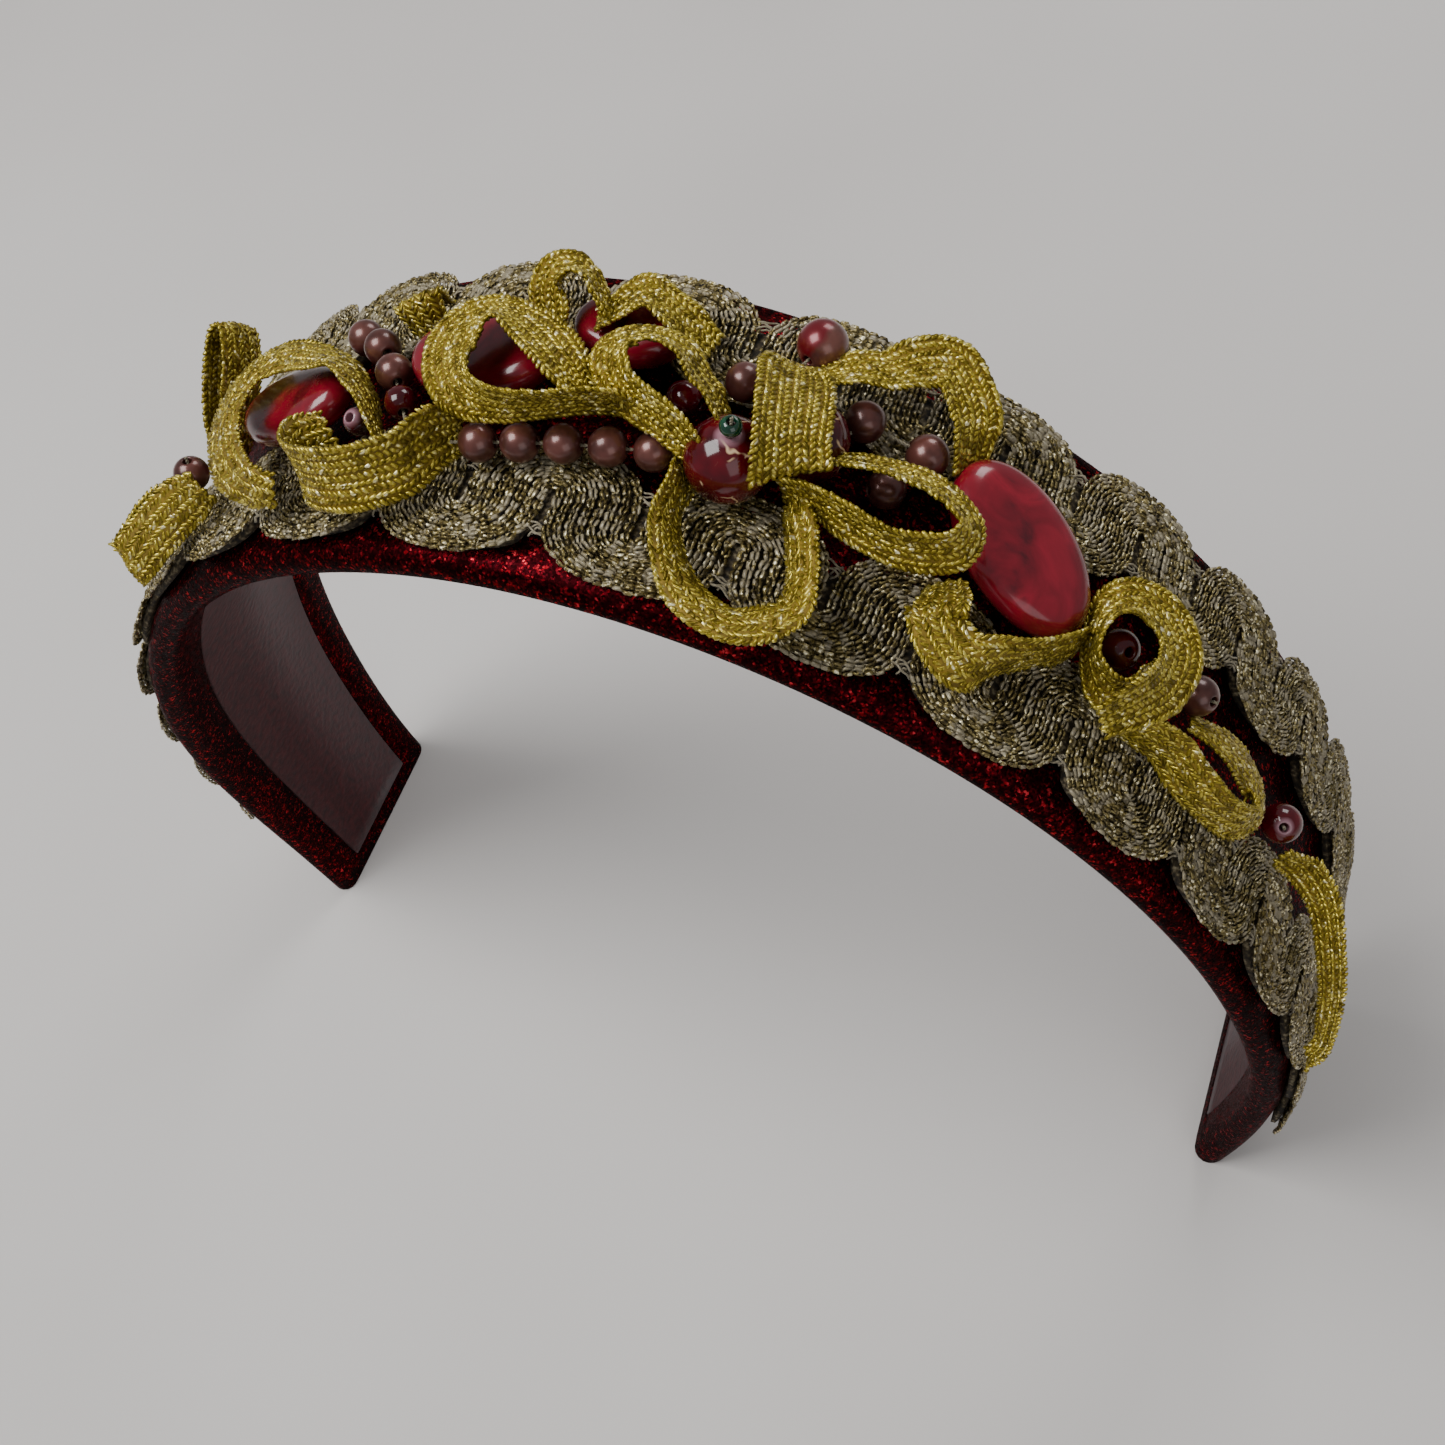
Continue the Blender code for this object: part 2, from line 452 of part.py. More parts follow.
def add_oval(name, mat):
    spot, length, width, thick, direction = OVALS[name]
    _point, along, away = band_axes(spot[0])
    long_way = (along * direction[0] + Vector((0.0, direction[1], 0.0))).normalized()
    short_way = away.cross(long_way)
    sections = []
    for scale, level in ((0.70, -0.5), (0.93, -0.34), (1.0, -0.08), (1.0, 0.08), (0.9, 0.36), (0.72, 0.5)):
        ring = []
        for step in range(20):
            angle = 2 * math.pi * step / 20
            inset = (1.0 - scale) * width / 2
            x = (length / 2 - inset) * math.cos(angle)
            y = (width / 2 - inset) * math.sin(angle)
            ring.append(place(*spot) + (long_way * x + short_way * y + away * level * thick) * MM)
        sections.append(ring)
    add_object(name, loft(sections), mat)


# ---- threads ----
def add_thread(name, points, mat, sides=6):
    """Round thread through the points."""
    sections = []
    for i, point in enumerate(points):
        ahead = points[min(i + 1, len(points) - 1)] - points[max(i - 1, 0)]
        matrix = ahead.to_track_quat("Z", "Y").to_matrix()
        ring = []
        for step in range(sides):
            angle = 2 * math.pi * step / sides
            offset = Vector((math.cos(angle), math.sin(angle), 0.0)) * THREAD * MM / 2
            ring.append(point + matrix @ offset)
        sections.append(ring)
    add_object(name, loft(sections), mat)


def add_threads(beads, mat):
    """The strings, and the stitch that each singly sewn bead turns on."""
    for name, string in STRINGS.items():
        add_thread(name, string_points(string), mat)
    for name in SEWN_BEADS:
        centre, diameter, hole, _turns = beads[name]
        low = centre - hole * (diameter / 2 + 0.4) * MM
        high = centre + hole * (diameter / 2 + 0.4) * MM
        if name == "crackle_bead_front":
            high = place(*SEED_BEAD[0]) + hole * 1.3 * MM
        add_thread(name + "_stitch", [low, high], mat)


def main():
    for piece in list(bpy.data.objects):
        bpy.data.objects.remove(piece)
    plastic = material("core_plastic", (0.72, 0.72, 0.70), 0.5)
    foam = material("pad_foam", (0.80, 0.78, 0.72), 0.9)
    lurex = material("red_lurex", (0.11, 0.006, 0.010), 0.45, 0.2)
    felt = material("lining_fabric", (0.06, 0.008, 0.010), 0.9)
    braid = material("old_gold_braid", (0.22, 0.18, 0.09), 0.5, 0.5)
    gold = material("gold_ribbon", (0.56, 0.42, 0.06), 0.35, 0.8)
    pearl = material("mauve_pearl", (0.14, 0.06, 0.06), 0.2, 0.2)
    glass = material("red_glass", (0.20, 0.002, 0.010), 0.08)
    stone = material("red_stone", (0.30, 0.010, 0.018), 0.12)
    green = material("green_seed", (0.01, 0.08, 0.04), 0.1)
    thread = material("sewing_thread", (0.30, 0.26, 0.18), 0.8)

    add_core(plastic)
    add_pad(foam)
    add_cover(lurex)
    add_lining(felt)
    add_braid("front_braid", FRONT_BRAID, braid)
    add_braid("rear_braid", REAR_BRAID, braid)
    for name in RIBBONS:
        add_ribbon(name, gold)
    beads = all_beads()
    for name, (centre, diameter, hole, turns) in beads.items():
        add_bead(name, centre, diameter, hole, glass if name in GLASS else pearl, turns=turns)
    spot, diameter, direction = SEED_BEAD
    add_bead("seed_bead", place(*spot), diameter, turn(spot[0], direction), green, bore=1.1)
    for name in OVALS:
        add_oval(name, stone)
    add_threads(beads, thread)


main()
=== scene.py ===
"""Padded headband in red lurex with scroll braid, ribbon loops and beads."""
import json
import math

import bmesh
import bpy
import numpy as np
from mathutils import Matrix, Vector


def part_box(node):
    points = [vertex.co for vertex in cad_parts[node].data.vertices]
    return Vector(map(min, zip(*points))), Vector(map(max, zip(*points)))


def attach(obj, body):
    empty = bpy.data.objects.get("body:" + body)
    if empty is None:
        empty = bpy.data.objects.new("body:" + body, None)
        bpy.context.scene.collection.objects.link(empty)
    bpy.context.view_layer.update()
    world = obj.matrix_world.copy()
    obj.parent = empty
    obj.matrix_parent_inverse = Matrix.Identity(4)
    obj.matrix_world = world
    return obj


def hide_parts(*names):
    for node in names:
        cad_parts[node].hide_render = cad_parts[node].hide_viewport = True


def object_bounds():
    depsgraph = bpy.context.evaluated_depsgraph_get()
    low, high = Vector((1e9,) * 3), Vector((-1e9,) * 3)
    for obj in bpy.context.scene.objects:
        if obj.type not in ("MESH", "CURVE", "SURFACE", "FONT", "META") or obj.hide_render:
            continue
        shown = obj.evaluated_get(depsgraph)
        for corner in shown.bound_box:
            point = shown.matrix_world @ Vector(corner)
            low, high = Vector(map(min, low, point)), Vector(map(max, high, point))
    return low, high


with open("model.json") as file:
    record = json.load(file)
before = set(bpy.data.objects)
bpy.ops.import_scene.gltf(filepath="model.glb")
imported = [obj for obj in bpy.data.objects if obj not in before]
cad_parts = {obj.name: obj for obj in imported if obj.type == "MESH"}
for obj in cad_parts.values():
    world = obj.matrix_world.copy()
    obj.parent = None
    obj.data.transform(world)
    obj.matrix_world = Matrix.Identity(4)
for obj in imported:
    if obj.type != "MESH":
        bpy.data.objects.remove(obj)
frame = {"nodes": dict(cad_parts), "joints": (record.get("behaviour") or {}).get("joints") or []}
CAD_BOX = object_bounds()

# ---- camera, light and table ----
# The band stands on its two tips on a pale table, seen from above and in front
# of the wearer's right, in soft window-like light.
MM = 0.001
CAMERA_AT = Vector((65.524, -88.686, 227.721)) * MM
CAMERA_LOOKS = Vector((-0.28862803, 0.40948756, -0.86545583))
CAMERA_UP = Vector((-0.24190357, 0.84341016, 0.47973115))


def linear(hex_colour):
    """sRGB hex colour as linear red, green, blue and alpha."""
    parts = [int(hex_colour[i:i + 2], 16) / 255 for i in (1, 3, 5)]
    return tuple(c / 12.92 if c <= 0.04045 else ((c + 0.055) / 1.055) ** 2.4 for c in parts) + (1.0,)


def add(tree, kind, inputs=None, stops=(), **settings):
    """A node with its settings, colour stops and inputs; a socket given as an input is linked."""
    node = tree.nodes.new(kind)
    for name, value in settings.items():
        setattr(node, name, value)
    for key, value in (inputs or {}).items():
        if isinstance(value, bpy.types.NodeSocket):
            tree.links.new(value, node.inputs[key])
        else:
            node.inputs[key].default_value = value
    if stops:
        elements = node.color_ramp.elements
        while len(elements) < len(stops):
            elements.new(0.5)
        for element, (position, colour) in zip(elements, stops):
            element.position = position
            element.color = linear(colour)
    return node


def new_material(name, **sockets):
    """Material, node tree and Principled shader with its constant sockets set."""
    mat = bpy.data.materials.new(name)
    mat.use_nodes = True
    shader = mat.node_tree.nodes["Principled BSDF"]
    for key, value in sockets.items():
        shader.inputs[key.replace("_", " ")].default_value = value
    return mat, mat.node_tree, shader


def feed(shader, **sources):
    """Links sockets into a shader's inputs."""
    for key, source in sources.items():
        shader.id_data.links.new(source, shader.inputs[key.replace("_", " ")])


def new_piece(name, points, faces, mat):
    """Object with a smooth-shaded mesh and one material."""
    mesh = bpy.data.meshes.new(name)
    mesh.from_pydata([tuple(p) for p in points], [], faces)
    mesh.validate()
    mesh.update()
    mesh.shade_smooth()
    if mat:
        mesh.materials.append(mat)
    piece = bpy.data.objects.new(name, mesh)
    bpy.context.scene.collection.objects.link(piece)
    return piece


right = CAMERA_LOOKS.cross(CAMERA_UP).normalized()
upright = right.cross(CAMERA_LOOKS).normalized()
camera_data = bpy.data.cameras.new("camera")
camera_data.lens = 40.8
camera_data.sensor_width = 36.0
camera_data.sensor_fit = "HORIZONTAL"
camera_data.clip_start = 0.01
camera = bpy.data.objects.new("camera", camera_data)
facing = Matrix((right, upright, -CAMERA_LOOKS)).transposed().to_4x4()
camera.matrix_world = Matrix.Translation(CAMERA_AT) @ facing
bpy.context.scene.collection.objects.link(camera)
bpy.context.scene.camera = camera

# Limed wood: pale, matt, with faint broad clouds.
floor_mat, tree, shader = new_material("limed_table", Roughness=0.7)
spot = add(tree, "ShaderNodeTexCoord").outputs["Object"]
grain = add(tree, "ShaderNodeTexNoise", {"Vector": spot, "Scale": 6.0})
tint = add(tree, "ShaderNodeValToRGB", {"Fac": grain.outputs["Fac"]},
           [(0.3, "#cfcac6"), (0.7, "#dad6d2")])
feed(shader, Base_Color=tint.outputs["Color"])
low = CAD_BOX[0][2] - 0.0002
corners = [(-3, -3, low), (3, -3, low), (3, 3, low), (-3, 3, low)]
floor = new_piece("table", corners, [(0, 1, 2, 3)], floor_mat)

world = bpy.data.worlds.new("room")
world.use_nodes = True
world.node_tree.nodes["Background"].inputs["Color"].default_value = linear("#e4e6ea")
world.node_tree.nodes["Background"].inputs["Strength"].default_value = 0.35
bpy.context.scene.world = world
LIGHTS = {"window": ((-0.35, -0.15, 0.75), 0.45, 6.0), "fill": ((0.6, -0.6, 0.5), 0.6, 1.2),
          "back": ((0.1, 0.7, 0.6), 0.35, 2.2)}
LIT_SPOT = Vector((0, 0, 0.06))
for name, (spot, size, watts) in LIGHTS.items():
    lamp = bpy.data.lights.new(name, "AREA")
    lamp.size = size
    lamp.energy = watts
    light = bpy.data.objects.new(name, lamp)
    aim = (LIT_SPOT - Vector(spot)).to_track_quat("-Z", "Y").to_matrix().to_4x4()
    light.matrix_world = Matrix.Translation(spot) @ aim
    bpy.context.scene.collection.objects.link(light)

# ---- the springy core ----
# A flat moulded plastic hoop, hidden in the padding. It gives the band its arch, and
# everything else is placed along it, across it and above it, in millimetres.
ARCH_HALF_WIDTH, ARCH_RISE, ARCH_DROP_FACTOR = 79.0, 97.0, 1.35
TIP_ANGLE = math.radians(-16.0)
TIP_TAPER, TAPER_START = 0.8, 95.0
BAND_HALF, BAND_THICK, FABRIC, GAP, TIP_INSET = 20.0, 5.0, 0.6, 0.3, 3.2

ANGLES = np.linspace(math.pi / 2, TIP_ANGLE - 0.2, 4000)
rises = np.where(np.sin(ANGLES) > 0, ARCH_RISE, ARCH_RISE * ARCH_DROP_FACTOR)
steps = np.hypot(np.diff(ARCH_HALF_WIDTH * np.cos(ANGLES)), np.diff(rises * np.sin(ANGLES)))
LENGTHS = np.concatenate([[0.0], np.cumsum(steps)])
TIP_S = float(np.interp(-TIP_ANGLE, -ANGLES, LENGTHS))


def arch(s):
    """Points of the arch at s, with the directions along it and away from the head."""
    s = np.asarray(s, float)
    angle = np.interp(np.abs(s), LENGTHS, ANGLES)
    rise = np.where(angle > 0, ARCH_RISE, ARCH_RISE * ARCH_DROP_FACTOR)
    side, zero = np.where(s >= 0, 1.0, -1.0), np.zeros_like(s)
    point = np.stack([side * ARCH_HALF_WIDTH * np.cos(angle), zero, rise * np.sin(angle)], -1)
    along = np.stack([ARCH_HALF_WIDTH * np.sin(angle), zero, -side * rise * np.cos(angle)], -1)
    along = along / np.linalg.norm(along, axis=-1, keepdims=True)
    return point, along, np.stack([-along[..., 2], zero, along[..., 0]], -1)


def place(s, t, h):
    """Points in metres, from s along the arch, t across it and h off the head."""
    point, _along, away = arch(s)
    t, h = np.broadcast_to(t, np.shape(s)), np.broadcast_to(h, np.shape(s))
    return (point + away * h[..., None] + np.stack([0 * t, t, 0 * t], -1)) * MM


def turn(s, direction):
    """Unit direction from its parts along the arch, across it and away from the head at s."""
    _point, along, away = arch(s)
    found = along * direction[0] + np.array([0.0, direction[1], 0.0]) + away * direction[2]
    return found / np.linalg.norm(found)


def taper(s):
    """Share of the full width that is left at s."""
    part = np.clip((np.abs(s) - TAPER_START) / (TIP_S - TAPER_START), 0.0, 1.0)
    return 1.0 - (1.0 - TIP_TAPER) * part * part * (3.0 - 2.0 * part)


# Moulded plastic: off-white and satin, almost even.
core_mat, tree, shader = new_material("moulded_plastic", Roughness=0.5)
spot = add(tree, "ShaderNodeTexCoord").outputs["Object"]
mottle = add(tree, "ShaderNodeTexNoise", {"Vector": spot, "Scale": 80.0})
tint = add(tree, "ShaderNodeValToRGB", {"Fac": mottle.outputs["Fac"]},
           [(0.3, "#d4d4d0"), (0.7, "#dededa")])
feed(shader, Base_Color=tint.outputs["Color"])
core = frame["nodes"]["core_band"]
core.data.materials.clear()
core.data.materials.append(core_mat)

# ---- padding and lining ----
# Soft open-cell foam crowned over the core, and a strip of dark felt glued inside
# to hide the hems. Both are cut flat and bent round the core.
def skin(count, n, first=0, caps=True):
    """Faces over count rings of n points each, closed at both ends."""
    faces = [(first + i * n + j, first + i * n + (j + 1) % n,
              first + (i + 1) * n + (j + 1) % n, first + (i + 1) * n + j)
             for i in range(count - 1) for j in range(n)]
    if caps:
        faces.append(tuple(range(first, first + n))[::-1])
        faces.append(tuple(range(first + (count - 1) * n, first + count * n)))
    return faces


def point_outwards(piece):
    """Turns a closed piece's faces outwards."""
    shape = bmesh.new()
    shape.from_mesh(piece.data)
    bmesh.ops.recalc_face_normals(shape, faces=shape.faces)
    shape.to_mesh(piece.data)
    shape.free()


STRIP_STEP = 3.0


def strip(name, outline, reach, mat):
    """Band of one section along the arch, as far as reach on both sides."""
    stops = np.linspace(-reach, reach, 2 * math.ceil(reach / STRIP_STEP) + 1)
    outline = np.array(outline)
    rows = [place(np.full(len(outline), s), outline[:, 0] * taper(s), outline[:, 1]) for s in stops]
    piece = new_piece(name, np.concatenate(rows), skin(len(stops), len(outline)), mat)
    point_outwards(piece)
    return piece


def mirror(half):
    """Outline with its second half added, from the first one's end back."""
    return half + [(-t, h) for t, h in reversed(half) if t > 0.0]


# Open-cell foam: cream and dead matt, with pinhead cells darkened by painted shade in their hollows.
foam_mat, tree, shader = new_material("open_cell_foam", Roughness=0.95)
spot = add(tree, "ShaderNodeTexCoord").outputs["Object"]
pores_with_painted_shade = add(tree, "ShaderNodeTexVoronoi", {"Vector": spot, "Scale": 1400.0})
tint = add(tree, "ShaderNodeValToRGB", {"Fac": pores_with_painted_shade.outputs["Distance"]},
           [(0.1, "#b8b09c"), (0.5, "#e4decb")])
feed(shader, Base_Color=tint.outputs["Color"])
PAD_HALF = [(0.0, 4.1), (6.0, 4.05), (12.0, 3.9), (16.0, 3.65), (17.2, 3.15), (16.6, 2.6)]
pad = strip("padding", mirror(PAD_HALF), TIP_S - TIP_INSET - GAP, foam_mat)
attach(pad, "headband")
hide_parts("foam_pad")

LINING_HALF = 12.0
# Felt: wine dark and matt, with short fibres that catch a little light.
felt_mat, tree, shader = new_material("dark_felt", Roughness=0.95, Sheen_Weight=0.1)
spot = add(tree, "ShaderNodeTexCoord").outputs["Object"]
fibres = add(tree, "ShaderNodeTexNoise", {"Vector": spot, "Scale": 900.0, "Detail": 4.0})
tint = add(tree, "ShaderNodeValToRGB", {"Fac": fibres.outputs["Fac"]},
           [(0.3, "#2a080c"), (0.7, "#4a1418")])
feed(shader, Base_Color=tint.outputs["Color"])
relief = add(tree, "ShaderNodeBump", {"Height": fibres.outputs["Fac"], "Distance": 0.0002})
feed(shader, Normal=relief.outputs["Normal"])
lining = strip("lining_felt",
               [(LINING_HALF, 0.0), (LINING_HALF, FABRIC), (-LINING_HALF, FABRIC), (-LINING_HALF, 0.0)],
               TIP_S - TIP_INSET - GAP, felt_mat)
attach(lining, "headband")
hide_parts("lining")

# ---- fabric cover ----
# Dark red stretch cloth knitted with metallic yarn, pulled tight over the padding with
# its hems turned in under the lining. Single flat yarns catch the light as red glints.
GLINT_MM = 0.24    # one painted glint, one turn of the metallic yarn, drawn a little coarse so that it shows
# Lurex knit: nearly black red, broken by painted glints: separate bright red sparks in the colour.
cover_mat, tree, shader = new_material("red_lurex_knit", Metallic=0.85, Specular_Tint=linear("#6a2026"))
spot = add(tree, "ShaderNodeTexCoord").outputs["Object"]
yarn_and_painted_glints = add(tree, "ShaderNodeTexVoronoi", {"Vector": spot, "Scale": 1 / (GLINT_MM * MM)})
patchy = add(tree, "ShaderNodeTexNoise", {"Vector": spot, "Scale": 1100.0, "Detail": 2.0})
chance = add(tree, "ShaderNodeSeparateColor", {"Color": yarn_and_painted_glints.outputs["Color"]})
tone_and_painted_glint = add(tree, "ShaderNodeMath", {0: chance.outputs["Red"], 1: patchy.outputs["Fac"]},
            operation="MULTIPLY")
# The top of this ramp is painted glints, bright red where single yarns would catch the light.
tint = add(tree, "ShaderNodeValToRGB", {"Fac": tone_and_painted_glint.outputs[0]},
           [(0.0, "#120203"), (0.25, "#2a0408"), (0.4, "#480810"), (0.5, "#7c0e18"), (0.64, "#d03840")])
feed(shader, Base_Color=tint.outputs["Color"])
gloss = add(tree, "ShaderNodeMapRange",
            {"Value": chance.outputs["Green"], "To Min": 0.22, "To Max": 0.6})
feed(shader, Roughness=gloss.outputs["Result"])
relief = add(tree, "ShaderNodeBump",
             {"Height": chance.outputs["Blue"], "Distance": 0.00022, "Strength": 0.8})
feed(shader, Normal=relief.outputs["Normal"])

hem = LINING_HALF + GAP
OUTSIDE = [(hem, 0.0), (15.5, 0.0), (17.6, 0.08), (18.7, 0.4), (19.5, 1.0), (19.95, 1.8),
           (19.95, 2.6), (19.6, 3.4), (18.9, 4.1), (17.6, 4.55), (15.0, 4.72), (12.0, 4.83),
           (9.0, 4.9), (6.0, 4.96), (3.0, 4.99), (0.0, BAND_THICK)]
INSIDE = [(0.0, 4.4), (6.0, 4.36), (12.0, 4.23), (17.4, 3.93), (18.8, 3.2), (19.4, 2.2), (18.8, 1.15),
          (17.4, FABRIC), (hem, FABRIC)]
outside = mirror(OUTSIDE)
inside = [(-t, h) for t, h in reversed(INSIDE) if t > 0.0] + INSIDE
loop = np.array(outside + inside)
sides = len(outside)
stops = np.linspace(-(TIP_S - TIP_INSET), TIP_S - TIP_INSET, 171)
rows = [place(np.full(len(loop), s), loop[:, 0] * taper(s), loop[:, 1]) for s in stops]
low_level = place(np.array([TIP_S]), 0.0, 0.0)[0][2]
n = len(loop)
points = np.concatenate(rows)
faces = skin(len(stops), n, caps=False)
for s, ring in ((-TIP_S, 0), (TIP_S, len(stops) - 1)):
    _point, along, _away = arch(s)
    end = place(np.full(sides, s), loop[:sides, 0] * taper(s), loop[:sides, 1])
    end = end + along * ((low_level - end[:, 2]) / along[2])[:, None]
    first, base = len(points), ring * n
    points = np.concatenate([points, end])
    for j in range(sides - 1):
        faces.append((first + j, first + j + 1, base + j + 1, base + j))
    faces.append((first + sides - 1, first, base, base + sides - 1))
    faces.append(tuple(range(first, first + sides)))
    faces.append(tuple([base] + [base + j for j in range(sides - 1, n)]))
cover = new_piece("cover", points, faces, cover_mat)
point_outwards(cover)
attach(cover, "headband")
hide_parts("fabric_cover")

# ---- scroll braids ----
# A flat chain-stitched tape of dull gold thread, gathered by a beige draw thread into
# scrolls on both edges: rows of stitches turn round slits that open to either side in turn.
BRAID_HALF, GROUND_WAIST, BRAID_LIFT, BRAID_FALL, BRAID_REACH = 7.1, 2.8, 5.4, 0.7, 150.0
BRAIDS = {
    "front_braid": {"middle": -12.0, "pitch": 17.3, "lobe_at": 7.9, "outer": -1},
    "rear_braid": {"middle": 11.7, "pitch": 16.6, "lobe_at": 2.7, "outer": 1},
}
ROWS = 8
ROW_EDGE = 0.72            # from a slit's middle to the nearest row
STRAIGHT = 1.15            # half the straight run between two scrolls
STITCH_MM = 1.05
STITCH_TOP = 1.35          # the rows lie this high above the braid's underside
DRAW_RADIUS = 0.00011      # of one ply of the draw thread, in metres


def stitch_tree(name):
    """Sets a stitch along each edge path, turned to its surface, with a random tone."""
    tree = bpy.data.node_groups.new(name, "GeometryNodeTree")
    for label, kind in (("Geometry", "NodeSocketGeometry"), ("Spacing", "NodeSocketFloat"),
                        ("Stitch", "NodeSocketObject"), ("Finish", "NodeSocketMaterial")):
        tree.interface.new_socket(label, in_out="INPUT", socket_type=kind)
    tree.interface.new_socket("Geometry", in_out="OUTPUT", socket_type="NodeSocketGeometry")
    given = add(tree, "NodeGroupInput").outputs
    path = add(tree, "GeometryNodeMeshToCurve", {"Mesh": given["Geometry"]})
    even = add(tree, "GeometryNodeResampleCurve",
               {"Curve": path.outputs["Curve"], "Length": given["Spacing"]}, mode="LENGTH")
    away = add(tree, "GeometryNodeInputNamedAttribute", {"Name": "away"}, data_type="FLOAT_VECTOR")
    lean = add(tree, "GeometryNodeInputNamedAttribute", {"Name": "lean"}, data_type="FLOAT")
    tangent = add(tree, "GeometryNodeInputTangent")
    forward = add(tree, "FunctionNodeAlignRotationToVector", {"Vector": tangent.outputs[0]}, axis="X")
    turned = add(tree, "FunctionNodeAlignRotationToVector",
                 {"Rotation": forward.outputs[0], "Vector": away.outputs["Attribute"]},
                 axis="Z", pivot_axis="X")
    tilt = add(tree, "ShaderNodeCombineXYZ", {"Z": lean.outputs["Attribute"]})
    jitter = add(tree, "FunctionNodeRandomValue",
                 {"Min": (-0.3, -0.2, -0.22), "Max": (0.3, 0.2, 0.22), "Seed": 3},
                 data_type="FLOAT_VECTOR")
    unevenly = add(tree, "ShaderNodeVectorMath", {0: tilt.outputs[0], 1: jitter.outputs["Value"]},
                   operation="ADD")
    local = add(tree, "FunctionNodeEulerToRotation", {"Euler": unevenly.outputs[0]})
    final = add(tree, "FunctionNodeRotateRotation",
                {"Rotation": turned.outputs[0], "Rotate By": local.outputs[0]}, rotation_space="LOCAL")
    shape = add(tree, "GeometryNodeObjectInfo", {"Object": given["Stitch"]})
    sewn = add(tree, "GeometryNodeInstanceOnPoints",
               {"Points": even.outputs["Curve"], "Instance": shape.outputs["Geometry"],
                "Rotation": final.outputs[0]})
    chance = add(tree, "FunctionNodeRandomValue", {"Seed": 8}, data_type="FLOAT")
    toned = add(tree, "GeometryNodeStoreNamedAttribute",
                {"Geometry": sewn.outputs["Instances"], "Name": "tone", "Value": chance.outputs[1]},
                data_type="FLOAT", domain="INSTANCE")
    real = add(tree, "GeometryNodeRealizeInstances", {"Geometry": toned.outputs["Geometry"]})
    done = add(tree, "GeometryNodeSetMaterial",
               {"Geometry": real.outputs["Geometry"], "Material": given["Finish"]})
    add(tree, "NodeGroupOutput", {"Geometry": done.outputs["Geometry"]})
    return tree


STITCHES = stitch_tree("stitches_along_rows")


def thread_shape(path, radius, sides, end_radius=None, phase=0.0):
    """Points and faces of a closed round thread along a path."""
    path = np.array(path, float)
    points, last = [], len(path) - 1
    for i, spot in enumerate(path):
        ahead = Vector(path[min(i + 1, last)] - path[max(i - 1, 0)])
        basis = np.array(ahead.to_track_quat("Z", "Y").to_matrix())
        thick = end_radius if end_radius and i in (0, last) else radius
        for k in range(sides):
            angle = 2 * math.pi * (k + phase) / sides
            points.append(spot + basis @ (thick * np.array([math.cos(angle), math.sin(angle), 0.0])))
    return points, skin(len(path), sides)


def stitch_piece(name, strands):
    """A stitch of one or two strands, which lie along +X with +Z up."""
    points, faces = [], []
    for path, radius in strands:
        sides = 3 if len(strands) > 1 else 4
        more, rings = thread_shape(path, radius, sides, radius * 0.45, 0.5)
        faces += [tuple(i + len(points) for i in face) for face in rings]
        points += more
    return new_piece(name, np.array(points) * MM, faces, None)


def sew(name, rows, spacing, stitch, mat):
    """Stitches along rows, each (points, away, lean), as one plain mesh."""
    points = np.concatenate([row[0] for row in rows])
    edges, first = [], 0
    for row in rows:
        edges += [(first + i, first + i + 1) for i in range(len(row[0]) - 1)]
        first += len(row[0])
    mesh = bpy.data.meshes.new(name)
    mesh.from_pydata([tuple(p) for p in points], edges, [])
    away = np.concatenate([row[1] for row in rows]).astype(np.float32)
    lean = np.concatenate([np.full(len(row[0]), row[2]) for row in rows]).astype(np.float32)
    attribute = mesh.attributes.new("away", "FLOAT_VECTOR", "POINT")
    attribute.data.foreach_set("vector", away.ravel())
    attribute = mesh.attributes.new("lean", "FLOAT", "POINT")
    attribute.data.foreach_set("value", lean)
    piece = bpy.data.objects.new(name, mesh)
    bpy.context.scene.collection.objects.link(piece)
    modifier = piece.modifiers.new("stitches", "NODES")
    modifier.node_group = STITCHES
    values = {"Spacing": spacing * MM, "Stitch": stitch, "Finish": mat}
    for socket in STITCHES.interface.items_tree:
        if socket.item_type == "SOCKET" and socket.in_out == "INPUT" and socket.name in values:
            modifier[socket.identifier] = values[socket.name]
    graph = bpy.context.evaluated_depsgraph_get()
    made = bpy.data.meshes.new_from_object(piece.evaluated_get(graph))
    piece.modifiers.clear()
    piece.data = made
    made.name = name
    return piece


BRAID_GLINT_MM = 0.30      # one painted glint, one turn of foil on the thread
# Foil on cotton: painted glints, dull gold sparks in the colour, between bare beige patches where the
# foil has worn.
braid_mat, tree, shader = new_material("old_gold_chain_thread", Roughness=0.36)
tone = add(tree, "ShaderNodeAttribute", attribute_name="tone")
spot = add(tree, "ShaderNodeTexCoord").outputs["Object"]
wrap = add(tree, "ShaderNodeTexVoronoi", {"Vector": spot, "Scale": 1 / (BRAID_GLINT_MM * MM)})
foil_turns_and_painted_glints = add(tree, "ShaderNodeSeparateColor", {"Color": wrap.outputs["Color"]})
tone_and_painted_glint = add(tree, "ShaderNodeMath", {0: tone.outputs["Fac"], 1: 0.35, 2: foil_turns_and_painted_glints.outputs["Red"]},
            operation="MULTIPLY_ADD")
tint = add(tree, "ShaderNodeValToRGB", {"Fac": tone_and_painted_glint.outputs[0]},
           [(0.1, "#1c160c"), (0.35, "#554a2e"), (0.7, "#85764a"), (1.0, "#a6965f")]).outputs["Color"]
# Painted highlight: the brightest sparks turn pale cream.
bright = add(tree, "ShaderNodeMapRange", {"Value": tone_and_painted_glint.outputs[0], "From Min": 1.0, "From Max": 1.12})
both = add(tree, "ShaderNodeMix", {"Factor": bright.outputs["Result"], 6: tint, 7: linear("#fff4cc")},
           data_type="RGBA")
